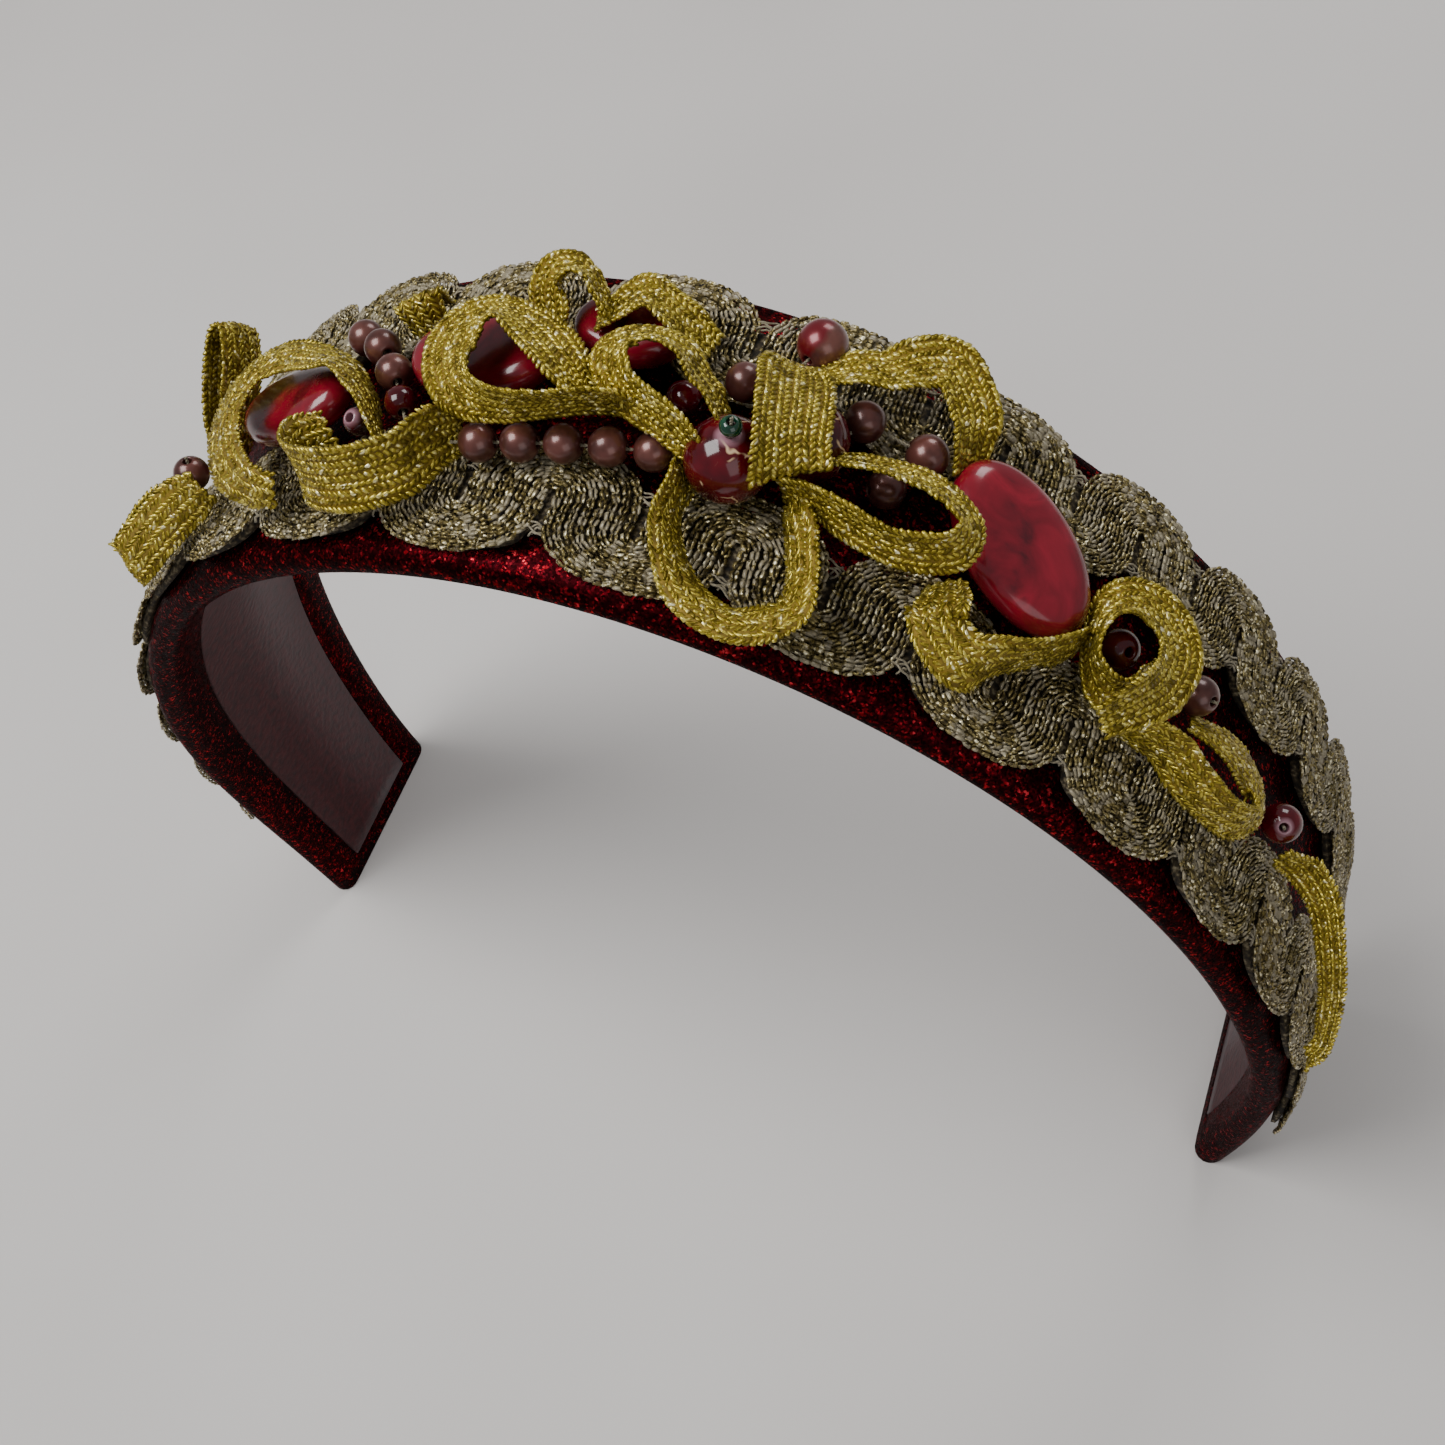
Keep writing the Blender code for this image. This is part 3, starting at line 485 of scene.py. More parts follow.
# The foil is worn off in patches about 1.5 mm across.
worn = add(tree, "ShaderNodeTexNoise", {"Vector": spot, "Scale": 650.0, "Detail": 3.0})
bare = add(tree, "ShaderNodeMapRange",
           {"Value": worn.outputs["Fac"], "From Min": 0.53, "From Max": 0.58, "To Max": 0.85})
cotton = add(tree, "ShaderNodeMix",
             {"Factor": bare.outputs["Result"], 6: both.outputs[2], 7: linear("#9c927a")},
             data_type="RGBA")
feed(shader, Base_Color=cotton.outputs[2])
foil_left = add(tree, "ShaderNodeMapRange",
                {"Value": bare.outputs["Result"], "To Min": 0.65, "To Max": 0.0})
feed(shader, Metallic=foil_left.outputs["Result"])
relief = add(tree, "ShaderNodeBump", {"Height": foil_turns_and_painted_glints.outputs["Green"], "Distance": 0.0001})
feed(shader, Normal=relief.outputs["Normal"])

# Foundation thread: a little beige fibre in it, darkened with painted shade between the rows and in the
# slits.
ground_with_painted_shade_mat, tree, shader = new_material("braid_ground", Roughness=0.9)
spot = add(tree, "ShaderNodeTexCoord").outputs["Object"]
shade = add(tree, "ShaderNodeTexNoise", {"Vector": spot, "Scale": 1500.0})
tint = add(tree, "ShaderNodeValToRGB", {"Fac": shade.outputs["Fac"]},
           [(0.4, "#171109"), (0.55, "#453a26"), (0.68, "#857a60")])
feed(shader, Base_Color=tint.outputs["Color"])

# Spun cotton: beige and matt, mottled along its plies.
draw_mat, tree, shader = new_material("beige_cotton_thread", Roughness=0.85, Sheen_Weight=0.2)
spot = add(tree, "ShaderNodeTexCoord").outputs["Object"]
ply = add(tree, "ShaderNodeTexNoise", {"Vector": spot, "Scale": 2600.0})
tint = add(tree, "ShaderNodeValToRGB", {"Fac": ply.outputs["Fac"]},
           [(0.3, "#6e654e"), (0.7, "#a29880")])
feed(shader, Base_Color=tint.outputs["Color"])


def rounded(angle):
    """Cosine and sine on a slightly squared circle."""
    power = 2 / 2.3
    return (np.sign(np.cos(angle)) * np.abs(np.cos(angle)) ** power, np.abs(np.sin(angle)) ** power)


def scroll_depth(a, half):
    """How far a row that passes a slit at distance a reaches beyond the slit's end."""
    return 0.9 + (a - ROW_EDGE) / (half - 2 * ROW_EDGE) * (BRAID_HALF - STRAIGHT - 0.4 - 0.9)


def scroll_row(braid, a):
    """One row's s and t, from end to end of the braid."""
    half, count = braid["pitch"] / 2, math.floor(BRAID_REACH / braid["pitch"])
    s, t = [], []
    cosine, sine = rounded(np.linspace(math.pi, 0.0, 17))
    for lobe in range(-count - 1, count + 1):
        centre = braid["lobe_at"] + lobe * braid["pitch"]
        s += list(centre + a * cosine)
        t += list(STRAIGHT + scroll_depth(a, half) * sine)
        s += list(centre + half + (half - a) * cosine)
        t += list(-STRAIGHT - scroll_depth(half - a, half) * sine)
    s, t = np.array(s), np.array(t)
    keep = np.abs(s) < BRAID_REACH - 1.0
    return s[keep], t[keep]


def braid_place(braid, s, t_local, lift):
    """Points in metres, t_local across from a braid's middle and lift above its underside."""
    t = (braid["middle"] + braid["outer"] * t_local) * taper(s)
    return place(s, t, BRAID_LIFT - BRAID_FALL * (t / BAND_HALF) ** 2 + lift)


def scallop(s, pitch, lobe_at):
    """How far the ground under the rows reaches to one side at s."""
    off = np.abs((s - lobe_at + pitch / 2) % pitch - pitch / 2) / (pitch / 2 - 1.3)
    bulge = (1.0 - np.minimum(off, 1.0) ** 2.3) ** (1 / 2.3)
    return GROUND_WAIST + (BRAID_HALF - 1.3 - GROUND_WAIST) * bulge


chain_stitch = stitch_piece("chain_stitch", [
    ([(-0.68, 0.03, -0.08), (-0.20, 0.27, 0.12), (0.32, 0.25, 0.14), (0.66, 0.08, -0.10)], 0.24),
    ([(-0.68, -0.03, -0.08), (-0.20, -0.27, 0.12), (0.32, -0.25, 0.14), (0.66, -0.08, -0.10)], 0.24)])
for name, braid in BRAIDS.items():
    half = braid["pitch"] / 2
    rows = []
    for a in np.linspace(ROW_EDGE, half - ROW_EDGE, ROWS):
        s, t = scroll_row(braid, a)
        puff = 0.3 * np.sin(np.clip(np.abs(t) / BRAID_HALF, 0, 1) * math.pi)
        puff = puff - 0.28 * np.abs(a / half - 0.5) + 0.1 * np.sin(s * 1.9 + a * 2.3)
        rows.append((braid_place(braid, s, t, STITCH_TOP + puff), arch(s)[2], 0.0))
    sewn = sew(name + "_stitches", rows, STITCH_MM, chain_stitch, braid_mat)
    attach(sewn, "headband")
    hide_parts(name)

    s = np.linspace(-BRAID_REACH + 3, BRAID_REACH - 3, 601)
    out = scallop(s, braid["pitch"], braid["lobe_at"])
    back = -scallop(s, braid["pitch"], braid["lobe_at"] + half)
    section = [(out, 0.1), (back, 0.1), (back, 0.7), (back + 0.6, 1.05), (out - 0.6, 1.05), (out, 0.7)]
    rings = np.stack([braid_place(braid, s, t, lift) for t, lift in section], 1)
    ground = new_piece(name + "_ground", rings.reshape(-1, 3), skin(len(s), len(section)), ground_with_painted_shade_mat)
    point_outwards(ground)
    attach(ground, "headband")

    # The draw thread shows in each valley, where its loosened plies cross and pinch a slit shut.
    points, faces = [], []
    for edge in (1, -1):
        start = braid["lobe_at"] + (half if edge > 0 else 0.0)
        for i in range(-8, 9):
            centre = start + i * braid["pitch"]
            if abs(centre) > BRAID_REACH - 4:
                continue
            for ply_number in range(5):
                lean = math.sin(i * 5.0 + ply_number * 2.1)
                u = np.linspace(-1, 1, 11)
                along_s = centre + (0.9 + 0.5 * lean) * u + 0.3 * math.sin(ply_number * 4.0 + i)
                waver = 0.12 * np.sin(i * 3.0 + 5 * u + ply_number)
                across_t = (2.5 + 0.25 * ply_number) * edge + 0.5 * lean * u + waver
                path = braid_place(braid, along_s, across_t,
                                   STITCH_TOP + 0.3 + 0.1 * lean - 0.6 * u ** 2)
                more, rings = thread_shape(path, DRAW_RADIUS, 5)
                faces += [tuple(k + len(points) for k in ring) for ring in rings]
                points += more
    thread = new_piece(name + "_draw_thread", points, faces, draw_mat)
    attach(thread, "headband")

# ---- ribbon loops ----
# Soft ribbon knitted from bright gold thread, six to eight wales of slanted stitches wide.
# Each loop is a short length folded on itself, its ends sewn down among the beads.
# A route lists (s, t, h) and the direction of the ribbon's width there.
RIBBONS = {
    "left_tail_loop": (6.0, [
        ((-42.0, -13.4, 10.8), (0.3, 0.3, 0.9)), ((-45.5, -15.0, 10.8), (0.2, 0.4, 0.9)),
        ((-48.5, -17.8, 10.9), (0.0, 0.5, 0.85)), ((-51.5, -21.0, 10.8), (0.0, 0.5, 0.85)),
        ((-53.0, -20.2, 10.6), (0.0, 0.4, 0.9)), ((-52.0, -17.0, 10.6), (0.0, 0.4, 0.9)),
        ((-50.0, -14.0, 10.6), (0.0, 0.4, 0.9))]),
    "left_upright_loop": (6.0, [
        ((-45.0, -2.6, 9.8), (-0.3, 0.6, -0.7)), ((-43.8, 0.5, 12.0), (-0.3, 0.6, -0.7)),
        ((-42.9, 3.4, 14.1), (-0.3, 0.6, -0.7)), ((-42.8, 5.7, 16.1), (-0.3, 0.6, -0.7)),
        ((-44.0, 5.7, 16.7), (-0.3, 0.6, -0.7)), ((-45.2, 3.6, 15.5), (-0.3, 0.6, -0.7)),
        ((-46.4, 0.5, 13.3), (-0.3, 0.6, -0.7)), ((-47.3, -2.0, 11.3), (-0.3, 0.6, -0.7))]),
    "ring_loop": (5.5, [
        ((-19.2, -7.9, 10.3), (-0.6, 0.6, -0.6)), ((-21.6, -4.5, 11.6), (-0.5, 0.7, -0.5)),
        ((-25.0, -1.4, 12.6), (-0.6, 0.7, -0.4)), ((-28.6, -0.4, 13.4), (-0.6, 0.7, -0.2)),
        ((-33.0, 0.2, 14.0), (-0.7, 0.7, 0.0)), ((-36.3, -1.5, 14.6), (-0.8, 0.6, 0.0)),
        ((-36.5, -6.3, 14.8), (-0.9, 0.4, 0.0)), ((-35.0, -11.0, 14.3), (-1.0, 0.2, 0.0)),
        ((-32.7, -14.4, 13.3), (-0.8, -0.5, -0.2)), ((-29.5, -16.4, 12.4), (-0.5, -0.5, -0.7)),
        ((-27.8, -16.9, 11.9), (-0.1, -0.5, -0.9))]),
    "wide_fold": (7.0, [
        ((-23.2, -9.6, 11.2), (0.0, 0.4, 0.9)), ((-25.3, -11.2, 11.4), (0.0, 0.4, 0.9)),
        ((-24.2, -14.6, 12.0), (0.0, 0.4, 0.9)), ((-20.5, -16.8, 13.0), (0.0, 0.4, 0.9)),
        ((-16.8, -17.1, 13.2), (0.0, 0.4, 0.9)), ((-14.3, -15.8, 12.8), (0.0, 0.4, 0.9)),
        ((-12.4, -13.8, 12.2), (0.0, 0.4, 0.9)), ((-11.2, -10.4, 11.8), (0.0, 0.4, 0.9))]),
    "left_peak_fold": (6.0, [
        ((-20.6, 6.6, 9.2), (0.9, 0.3, 0.1)), ((-20.6, 6.9, 10.9), (0.9, 0.3, 0.1)),
        ((-20.8, 7.6, 12.4), (0.9, 0.3, 0.1)), ((-21.2, 8.7, 11.2), (0.9, 0.3, 0.1)),
        ((-21.6, 9.6, 9.4), (0.9, 0.3, 0.1))]),
    "teardrop_loop": (6.5, [
        ((2.2, -4.6, 14.4), (-0.3, 0.2, -0.9)), ((-1.5, -6.6, 14.9), (-0.3, 0.2, -0.9)),
        ((-4.6, -7.6, 15.2), (-0.4, 0.1, -0.9)), ((-7.4, -7.0, 15.4), (-0.7, 0.0, -0.7)),
        ((-10.0, -4.6, 15.3), (-0.9, -0.1, -0.3)), ((-11.2, -1.0, 15.4), (-1.0, 0.0, -0.1)),
        ((-10.3, 2.0, 15.6), (-0.9, 0.4, -0.2)), ((-8.0, 3.2, 15.6), (-0.6, 0.7, -0.4)),
        ((-5.0, 1.8, 15.3), (0.0, 0.9, -0.4)), ((-1.8, -1.0, 15.2), (0.2, 0.9, -0.4))]),
    "top_loop": (6.0, [
        ((-6.0, 6.6, 12.2), (-0.9, 0.2, -0.3)), ((-6.2, 7.8, 13.6), (-0.9, 0.2, -0.3)),
        ((-5.6, 9.0, 15.0), (-0.8, 0.4, -0.3)), ((-4.0, 9.6, 15.6), (-0.6, 0.7, -0.4)),
        ((-2.6, 9.2, 15.0), (-0.4, 0.8, -0.5)), ((-2.2, 8.7, 14.5), (-0.3, 0.8, -0.5))]),
    "broad_fold": (5.6, [
        ((0.8, 8.6, 13.4), (-0.3, 0.9, -0.2)), ((2.2, 9.6, 13.8), (-0.3, 0.9, -0.2)),
        ((4.2, 9.0, 12.9), (-0.2, 1.0, -0.2)), ((5.6, 8.6, 11.7), (0.0, 1.0, -0.1))]),
    "centre_left_loop": (6.0, [
        ((8.4, -5.2, 14.9), (-0.4, 0.0, -0.9)), ((5.7, -4.0, 15.0), (-0.5, 0.0, -0.9)),
        ((3.6, -2.3, 15.4), (-0.7, 0.1, -0.7)), ((2.4, 0.3, 15.6), (-0.8, 0.4, -0.5)),
        ((3.3, 2.5, 15.6), (-0.6, 0.5, -0.5)), ((5.1, 3.4, 15.4), (-0.4, 0.7, -0.6)),
        ((7.4, 2.7, 15.2), (-0.2, 0.8, -0.6)), ((9.4, 0.5, 14.8), (-0.1, 0.8, -0.6)),
        ((11.0, -1.2, 14.6), (0.0, 0.7, -0.7))]),
    "bead_wrap": (8.0, [
        ((18.7, -6.6, 15.1), (-0.8, -0.5, 0.3)), ((18.5, -6.2, 16.3), (-0.9, -0.4, 0.2)),
        ((17.7, -3.4, 17.1), (-0.9, -0.4, 0.3)), ((16.9, 0.9, 16.3), (-0.9, -0.4, 0.3)),
        ((16.1, 5.0, 14.5), (-0.9, -0.3, 0.3)), ((15.8, 6.6, 13.2), (-1.0, -0.2, 0.2))]),
    "lower_ring_loop": (5.0, [
        ((10.6, -8.4, 9.9), (-0.2, -0.6, 0.8)), ((10.9, -12.6, 10.4), (-0.3, -0.6, 0.7)),
        ((12.4, -16.3, 10.6), (-0.3, -0.7, 0.6)), ((14.9, -19.7, 11.0), (-0.2, -0.9, 0.4)),
        ((18.2, -21.0, 11.2), (0.0, -0.9, 0.4)), ((20.8, -19.9, 11.2), (0.3, -0.9, 0.4)),
        ((22.6, -17.0, 11.0), (0.4, -0.7, 0.5)), ((22.4, -13.5, 10.8), (0.5, -0.5, 0.8)),
        ((21.6, -10.6, 10.4), (0.5, -0.2, 0.9)), ((21.0, -8.8, 10.2), (0.5, 0.0, 0.9))]),
    "right_loop": (5.5, [
        ((24.2, -1.7, 14.4), (-0.1, 0.7, -0.7)), ((28.1, -1.6, 15.4), (0.1, 0.8, -0.6)),
        ((30.8, -2.7, 16.2), (0.3, 0.8, -0.6)), ((32.6, -4.4, 16.4), (0.6, 0.6, -0.6)),
        ((32.5, -6.7, 16.0), (0.7, 0.1, -0.6)), ((30.8, -7.9, 15.0), (0.6, -0.1, -0.8)),
        ((27.8, -8.4, 13.8), (0.4, -0.1, -0.9)), ((24.0, -7.3, 12.8), (0.1, -0.1, -1.0)),
        ((21.4, -6.4, 12.4), (0.0, 0.1, -1.0))]),
    "top_right_loop": (6.0, [
        ((20.6, 9.4, 12.4), (-0.2, 0.9, -0.4)), ((22.9, 10.2, 12.6), (-0.2, 0.9, -0.3)),
        ((25.1, 12.4, 13.0), (-0.3, 1.0, 0.0)), ((27.4, 13.7, 13.2), (0.0, 1.0, 0.0)),
        ((29.2, 12.1, 13.0), (0.5, 0.8, 0.0)), ((30.8, 10.1, 12.4), (0.7, 0.7, 0.0)),
        ((31.4, 8.2, 11.8), (0.6, 0.7, -0.2))]),
    "zigzag_fold": (6.0, [
        ((33.8, -9.8, 11.0), (-0.6, -0.2, -0.6)),
        ((33.7, -11.4, 11.4), (-0.8, -0.5, -0.3)), ((35.2, -13.2, 11.2), (-0.5, -0.8, -0.3)),
        ((37.7, -14.0, 11.0), (0.1, -0.9, -0.5)), ((40.2, -12.0, 10.9), (0.4, -0.2, -0.9)),
        ((43.0, -9.8, 10.9), (0.5, 0.1, -0.9)), ((45.6, -7.2, 10.8), (0.6, 0.3, -0.8))]),
    "rosette": (6.0, [
        ((57.0, -3.7, 10.4), (1.0, -0.1, -0.2)), ((54.0, -6.7, 10.8), (0.9, -0.3, -0.4)),
        ((50.6, -7.8, 11.2), (0.6, -0.1, -0.8)), ((47.8, -6.0, 11.8), (0.3, 0.3, -0.9)),
        ((47.7, -2.1, 12.6), (0.1, 0.7, -0.7)), ((49.6, 0.6, 13.2), (0.0, 0.9, -0.3)),
        ((52.6, 0.9, 13.8), (0.5, 0.9, -0.1)), ((54.8, -1.6, 14.2), (0.8, 0.5, 0.0)),
        ((54.2, -6.0, 14.6), (1.0, 0.1, -0.2)), ((51.8, -10.0, 14.8), (0.9, -0.2, -0.5))]),
    "lower_right_loop": (6.0, [
        ((58.0, -9.6, 11.0), (0.0, -0.1, -1.0)), ((60.0, -9.8, 11.0), (0.1, -0.1, -1.0)),
        ((62.7, -11.0, 11.2), (0.2, -0.2, -1.0)), ((66.6, -11.6, 11.4), (0.4, -0.1, -0.9)),
        ((70.8, -10.3, 11.4), (0.8, 0.0, -0.6)), ((72.5, -7.2, 11.4), (0.9, 0.3, -0.2)),
        ((70.5, -5.0, 11.2), (0.7, 0.7, -0.2)), ((66.2, -4.0, 11.0), (0.6, 0.7, -0.3))]),
    "right_tail_loop": (5.5, [
        ((82.0, -7.8, 10.6), (-0.5, 0.1, 0.9)), ((84.6, -7.4, 11.2), (-0.5, 0.1, 0.9)),
        ((87.9, -9.4, 12.6), (-0.6, 0.0, 0.8)), ((91.5, -13.0, 13.0), (-0.6, -0.2, 0.7)),
        ((96.6, -16.3, 12.4), (-0.7, -0.3, 0.6)), ((101.7, -19.3, 11.0), (-0.8, -0.3, 0.5))]),
}

WALE_MM = 0.74             # between two wales
RIBBON_STITCH_MM = 0.66
SAMPLE_MM = 0.35           # between the points of a route
RIBBON_CUP = 0.45          # the edges curl up this much

# Lame thread: lemon gold on a darker gold, with painted glints: small bright sparks in the colour, the
# brightest a painted highlight.
ribbon_mat, tree, shader = new_material("bright_gold_lame_thread", Metallic=0.7, Roughness=0.34)
tone = add(tree, "ShaderNodeAttribute", attribute_name="tone")
spot = add(tree, "ShaderNodeTexCoord").outputs["Object"]
wrap = add(tree, "ShaderNodeTexVoronoi", {"Vector": spot, "Scale": 1 / (BRAID_GLINT_MM * MM)})
foil_turns_and_painted_glints = add(tree, "ShaderNodeSeparateColor", {"Color": wrap.outputs["Color"]})
tone_and_painted_glint = add(tree, "ShaderNodeMath", {0: tone.outputs["Fac"], 1: foil_turns_and_painted_glints.outputs["Red"]},
            operation="MULTIPLY")
# The upper stops are painted glints, up to a pale cream painted highlight.
tint = add(tree, "ShaderNodeValToRGB", {"Fac": tone_and_painted_glint.outputs[0]},
           [(0.0, "#6a5a10"), (0.12, "#a08c28"), (0.4, "#c8b446"), (0.66, "#e2d26c"),
            (0.86, "#fff6c4")])
feed(shader, Base_Color=tint.outputs["Color"])
relief = add(tree, "ShaderNodeBump", {"Height": foil_turns_and_painted_glints.outputs["Green"], "Distance": 0.00008})
feed(shader, Normal=relief.outputs["Normal"])

# Foundation threads of the ribbon: shadowed dull gold between the wales.
ground_mat, tree, shader = new_material("ribbon_ground", Roughness=0.7, Metallic=0.3)
spot = add(tree, "ShaderNodeTexCoord").outputs["Object"]
shade = add(tree, "ShaderNodeTexNoise", {"Vector": spot, "Scale": 1500.0})
tint = add(tree, "ShaderNodeValToRGB", {"Fac": shade.outputs["Fac"]},
           [(0.35, "#6a5510"), (0.7, "#94791e")])
feed(shader, Base_Color=tint.outputs["Color"])


def smooth_route(route, spacing):
    """Points and width directions, evenly spaced on a curve through the route."""
    knots = [np.concatenate([place(np.array(p[0]), p[1], p[2]), turn(p[0], w)]) for p, w in route]
    knots = [2 * knots[0] - knots[1]] + knots + [2 * knots[-1] - knots[-2]]
    fine = []
    for before, start, end, after in zip(knots, knots[1:], knots[2:], knots[3:]):
        for u in np.arange(0.0, 1.0, 0.05):
            fine.append(0.5 * (2 * start + (end - before) * u
                               + (2 * before - 5 * start + 4 * end - after) * u ** 2
                               + (3 * start - before - 3 * end + after) * u ** 3))
    fine = np.array(fine + [knots[-2]])
    length = np.concatenate([[0.0], np.cumsum(np.linalg.norm(np.diff(fine[:, :3], axis=0), axis=1))])
    even = np.linspace(0.0, length[-1], max(2, round(length[-1] / (spacing * MM)) + 1))
    return np.stack([np.interp(even, length, fine[:, i]) for i in range(6)], axis=1)


lame_stitch = stitch_piece("lame_stitch", [
    ([(-0.58, 0.0, -0.10), (-0.22, 0.05, 0.05), (0.22, -0.05, 0.05), (0.58, 0.0, -0.10)], 0.27)])
TUCKED = 3.2               # each end runs on this far, down among the beads, where it is sewn
TUCKS = {                  # how far the first and last end run on where they differ
    "bead_wrap": (0.0, 0.0), "wide_fold": (0.0, TUCKED), "left_tail_loop": (0.0, TUCKED),
    "right_tail_loop": (0.6, TUCKED), "left_peak_fold": (0.8, 0.8),
}
TUCK_SPOTS = {             # an end that goes to a bead instead
    "lower_ring_loop": (None, (19.6, -6.2, 9.8)), "ring_loop": (None, (-26.6, -16.9, 11.3)),
}


GATHERED, GATHER_MM = 0.72, 3.5    # an end is drawn in this much by its stitches, over this length


def run_on(end, before, reach):
    """A route's end moved on by reach, down towards the braid."""
    end, before = np.array(end), np.array(before)
    spot = end + (end - before) / np.linalg.norm(end - before) * reach
    spot[2] = max(8.4, end[2] - 0.56 * reach)
    return tuple(spot)


def tucked_ends(name, route):
    """The route with both ends run on to where they are sewn."""
    first, last = TUCKS.get(name, (TUCKED, TUCKED))
    first_spot, last_spot = TUCK_SPOTS.get(name, (None, None))
    if first_spot or first:
        first_spot = first_spot or run_on(route[0][0], route[1][0], first)
        route = [(first_spot, route[0][1])] + route
    if last_spot or last:
        last_spot = last_spot or run_on(route[-1][0], route[-2][0], last)
        route = route + [(last_spot, route[-1][1])]
    return route


for name, (width, route) in RIBBONS.items():
    samples = smooth_route(tucked_ends(name, route), SAMPLE_MM)
    centre, across = samples[:, :3], samples[:, 3:]
    ahead = np.gradient(centre, axis=0)
    ahead = ahead / np.linalg.norm(ahead, axis=1, keepdims=True)
    across = across - ahead * (across * ahead).sum(1, keepdims=True)
    across = across / np.linalg.norm(across, axis=1, keepdims=True)
    face = np.cross(ahead, across)
    run = np.arange(len(centre)) * SAMPLE_MM
    from_end = run[-1] - run if name == "bead_wrap" else np.minimum(run, run[-1] - run)
    ease = np.clip(from_end / GATHER_MM, 0.0, 1.0)
    drawn_in = (GATHERED + (1 - GATHERED) * ease * ease * (3 - 2 * ease))[:, None]
    wales = max(5, round(width / WALE_MM))
    offsets = (np.arange(wales) - (wales - 1) / 2) * (width - 0.7) / (wales - 1)
    rows = []
    for i, offset in enumerate(offsets):
        cup = RIBBON_CUP * (offset / (width / 2)) ** 2 - RIBBON_CUP / 3
        rows.append((centre + (across * offset * drawn_in + face * cup) * MM, face,
                     0.62 if i % 2 else -0.62))
    sewn = sew(name + "_stitches", rows, RIBBON_STITCH_MM, lame_stitch, ribbon_mat)
    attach(sewn, "headband")
    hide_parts(name)

    steps_across = np.linspace(-width / 2 + 0.3, width / 2 - 0.3, 7)
    cups = RIBBON_CUP * (steps_across / (width / 2)) ** 2 - RIBBON_CUP / 3
    upper = [(o, c + 0.1) for o, c in zip(steps_across, cups)]
    ring = upper + [(o, c - 0.1) for o, c in zip(steps_across, cups)][::-1]
    rings = np.stack([centre + (across * o * drawn_in + face * c) * MM for o, c in ring], 1)
    ground = new_piece(name + "_ground", rings.reshape(-1, 3), skin(len(centre), len(ring)), ground_mat)
    point_outwards(ground)
    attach(ground, "headband")
for stitch in (chain_stitch, lame_stitch):
    bpy.data.objects.remove(stitch)

# ---- pearls and beads ----
# Round moulded beads with a drilled hole: mauve pearl lacquer, wine red glass with
# cream crackle, and one large pearl lacquered in two tones. Each bead with a joint
# turns on its thread; the rest are fixed to the band.
JOINTS = {joint["child"]: joint for joint in frame["joints"]}
FIXED_HOLES = {     # where along the arch, and the hole's direction, of beads that don't turn
    "middle_pearl": (11.9, (1.0, 0.0, 0.0)), "inner_pearl": (26.6, (0.8, 0.5, 0.0)),
    "cluster_bead_hole": (-23.4, (0.1, -0.4, 0.9)), "loop_bead_red": (7.6, (1.0, 0.0, 0.0)),
    "rosette_bead": (51.0, (0.0, -0.4, 0.9)), "seed_bead": (13.6, (0.0, 0.0, 1.0)),
}
DIAMETERS = {               # 4.0 for every bead not listed
    "two_tone_pearl": 5.2, "right_pearl": 4.3, "rear_pearl_1": 4.2, "rear_pearl_2": 4.4,
    "cluster_bead_red": 3.5, "crackle_bead_front": 8.4, "crackle_bead_rear": 8.4,
    "cluster_bead_hole": 3.0, "loop_bead_red": 3.8, "rosette_bead": 4.4, "right_bead_hole": 4.4,
    "seed_bead": 2.2,
}


def pearl_material(name, low_colour, high_colour, second=None, centre=None, split=None):
    """Pearl lacquer: brown mauve, with a broad soft highlight; a second colour may cover one side."""
    mat, tree, shader = new_material(name, Metallic=0.35, Roughness=0.3, Coat_Weight=0.45,
                                     Coat_Roughness=0.16)
    spot = add(tree, "ShaderNodeTexCoord").outputs["Object"]
    cloud = add(tree, "ShaderNodeTexNoise", {"Vector": spot, "Scale": 500.0, "Detail": 3.0})
    colour = add(tree, "ShaderNodeValToRGB", {"Fac": cloud.outputs["Fac"]},
                 [(0.35, low_colour), (0.65, high_colour)]).outputs["Color"]
    if second:
        moved = add(tree, "ShaderNodeVectorMath", {0: spot, 1: tuple(centre)}, operation="SUBTRACT")
        side = add(tree, "ShaderNodeVectorMath", {0: moved.outputs[0], 1: tuple(split)},
                   operation="DOT_PRODUCT")
        uneven = add(tree, "ShaderNodeMath",
                     {0: cloud.outputs["Fac"], 1: 0.0016, 2: side.outputs["Value"]},
                     operation="MULTIPLY_ADD")
        part = add(tree, "ShaderNodeMapRange",
                   {"Value": uneven.outputs[0], "From Min": 0.0006, "From Max": 0.0011})
        both = add(tree, "ShaderNodeMix",
                   {"Factor": part.outputs["Result"], 6: colour, 7: linear(second)},
                   data_type="RGBA")
        colour = both.outputs[2]
    feed(shader, Base_Color=colour)
    return mat


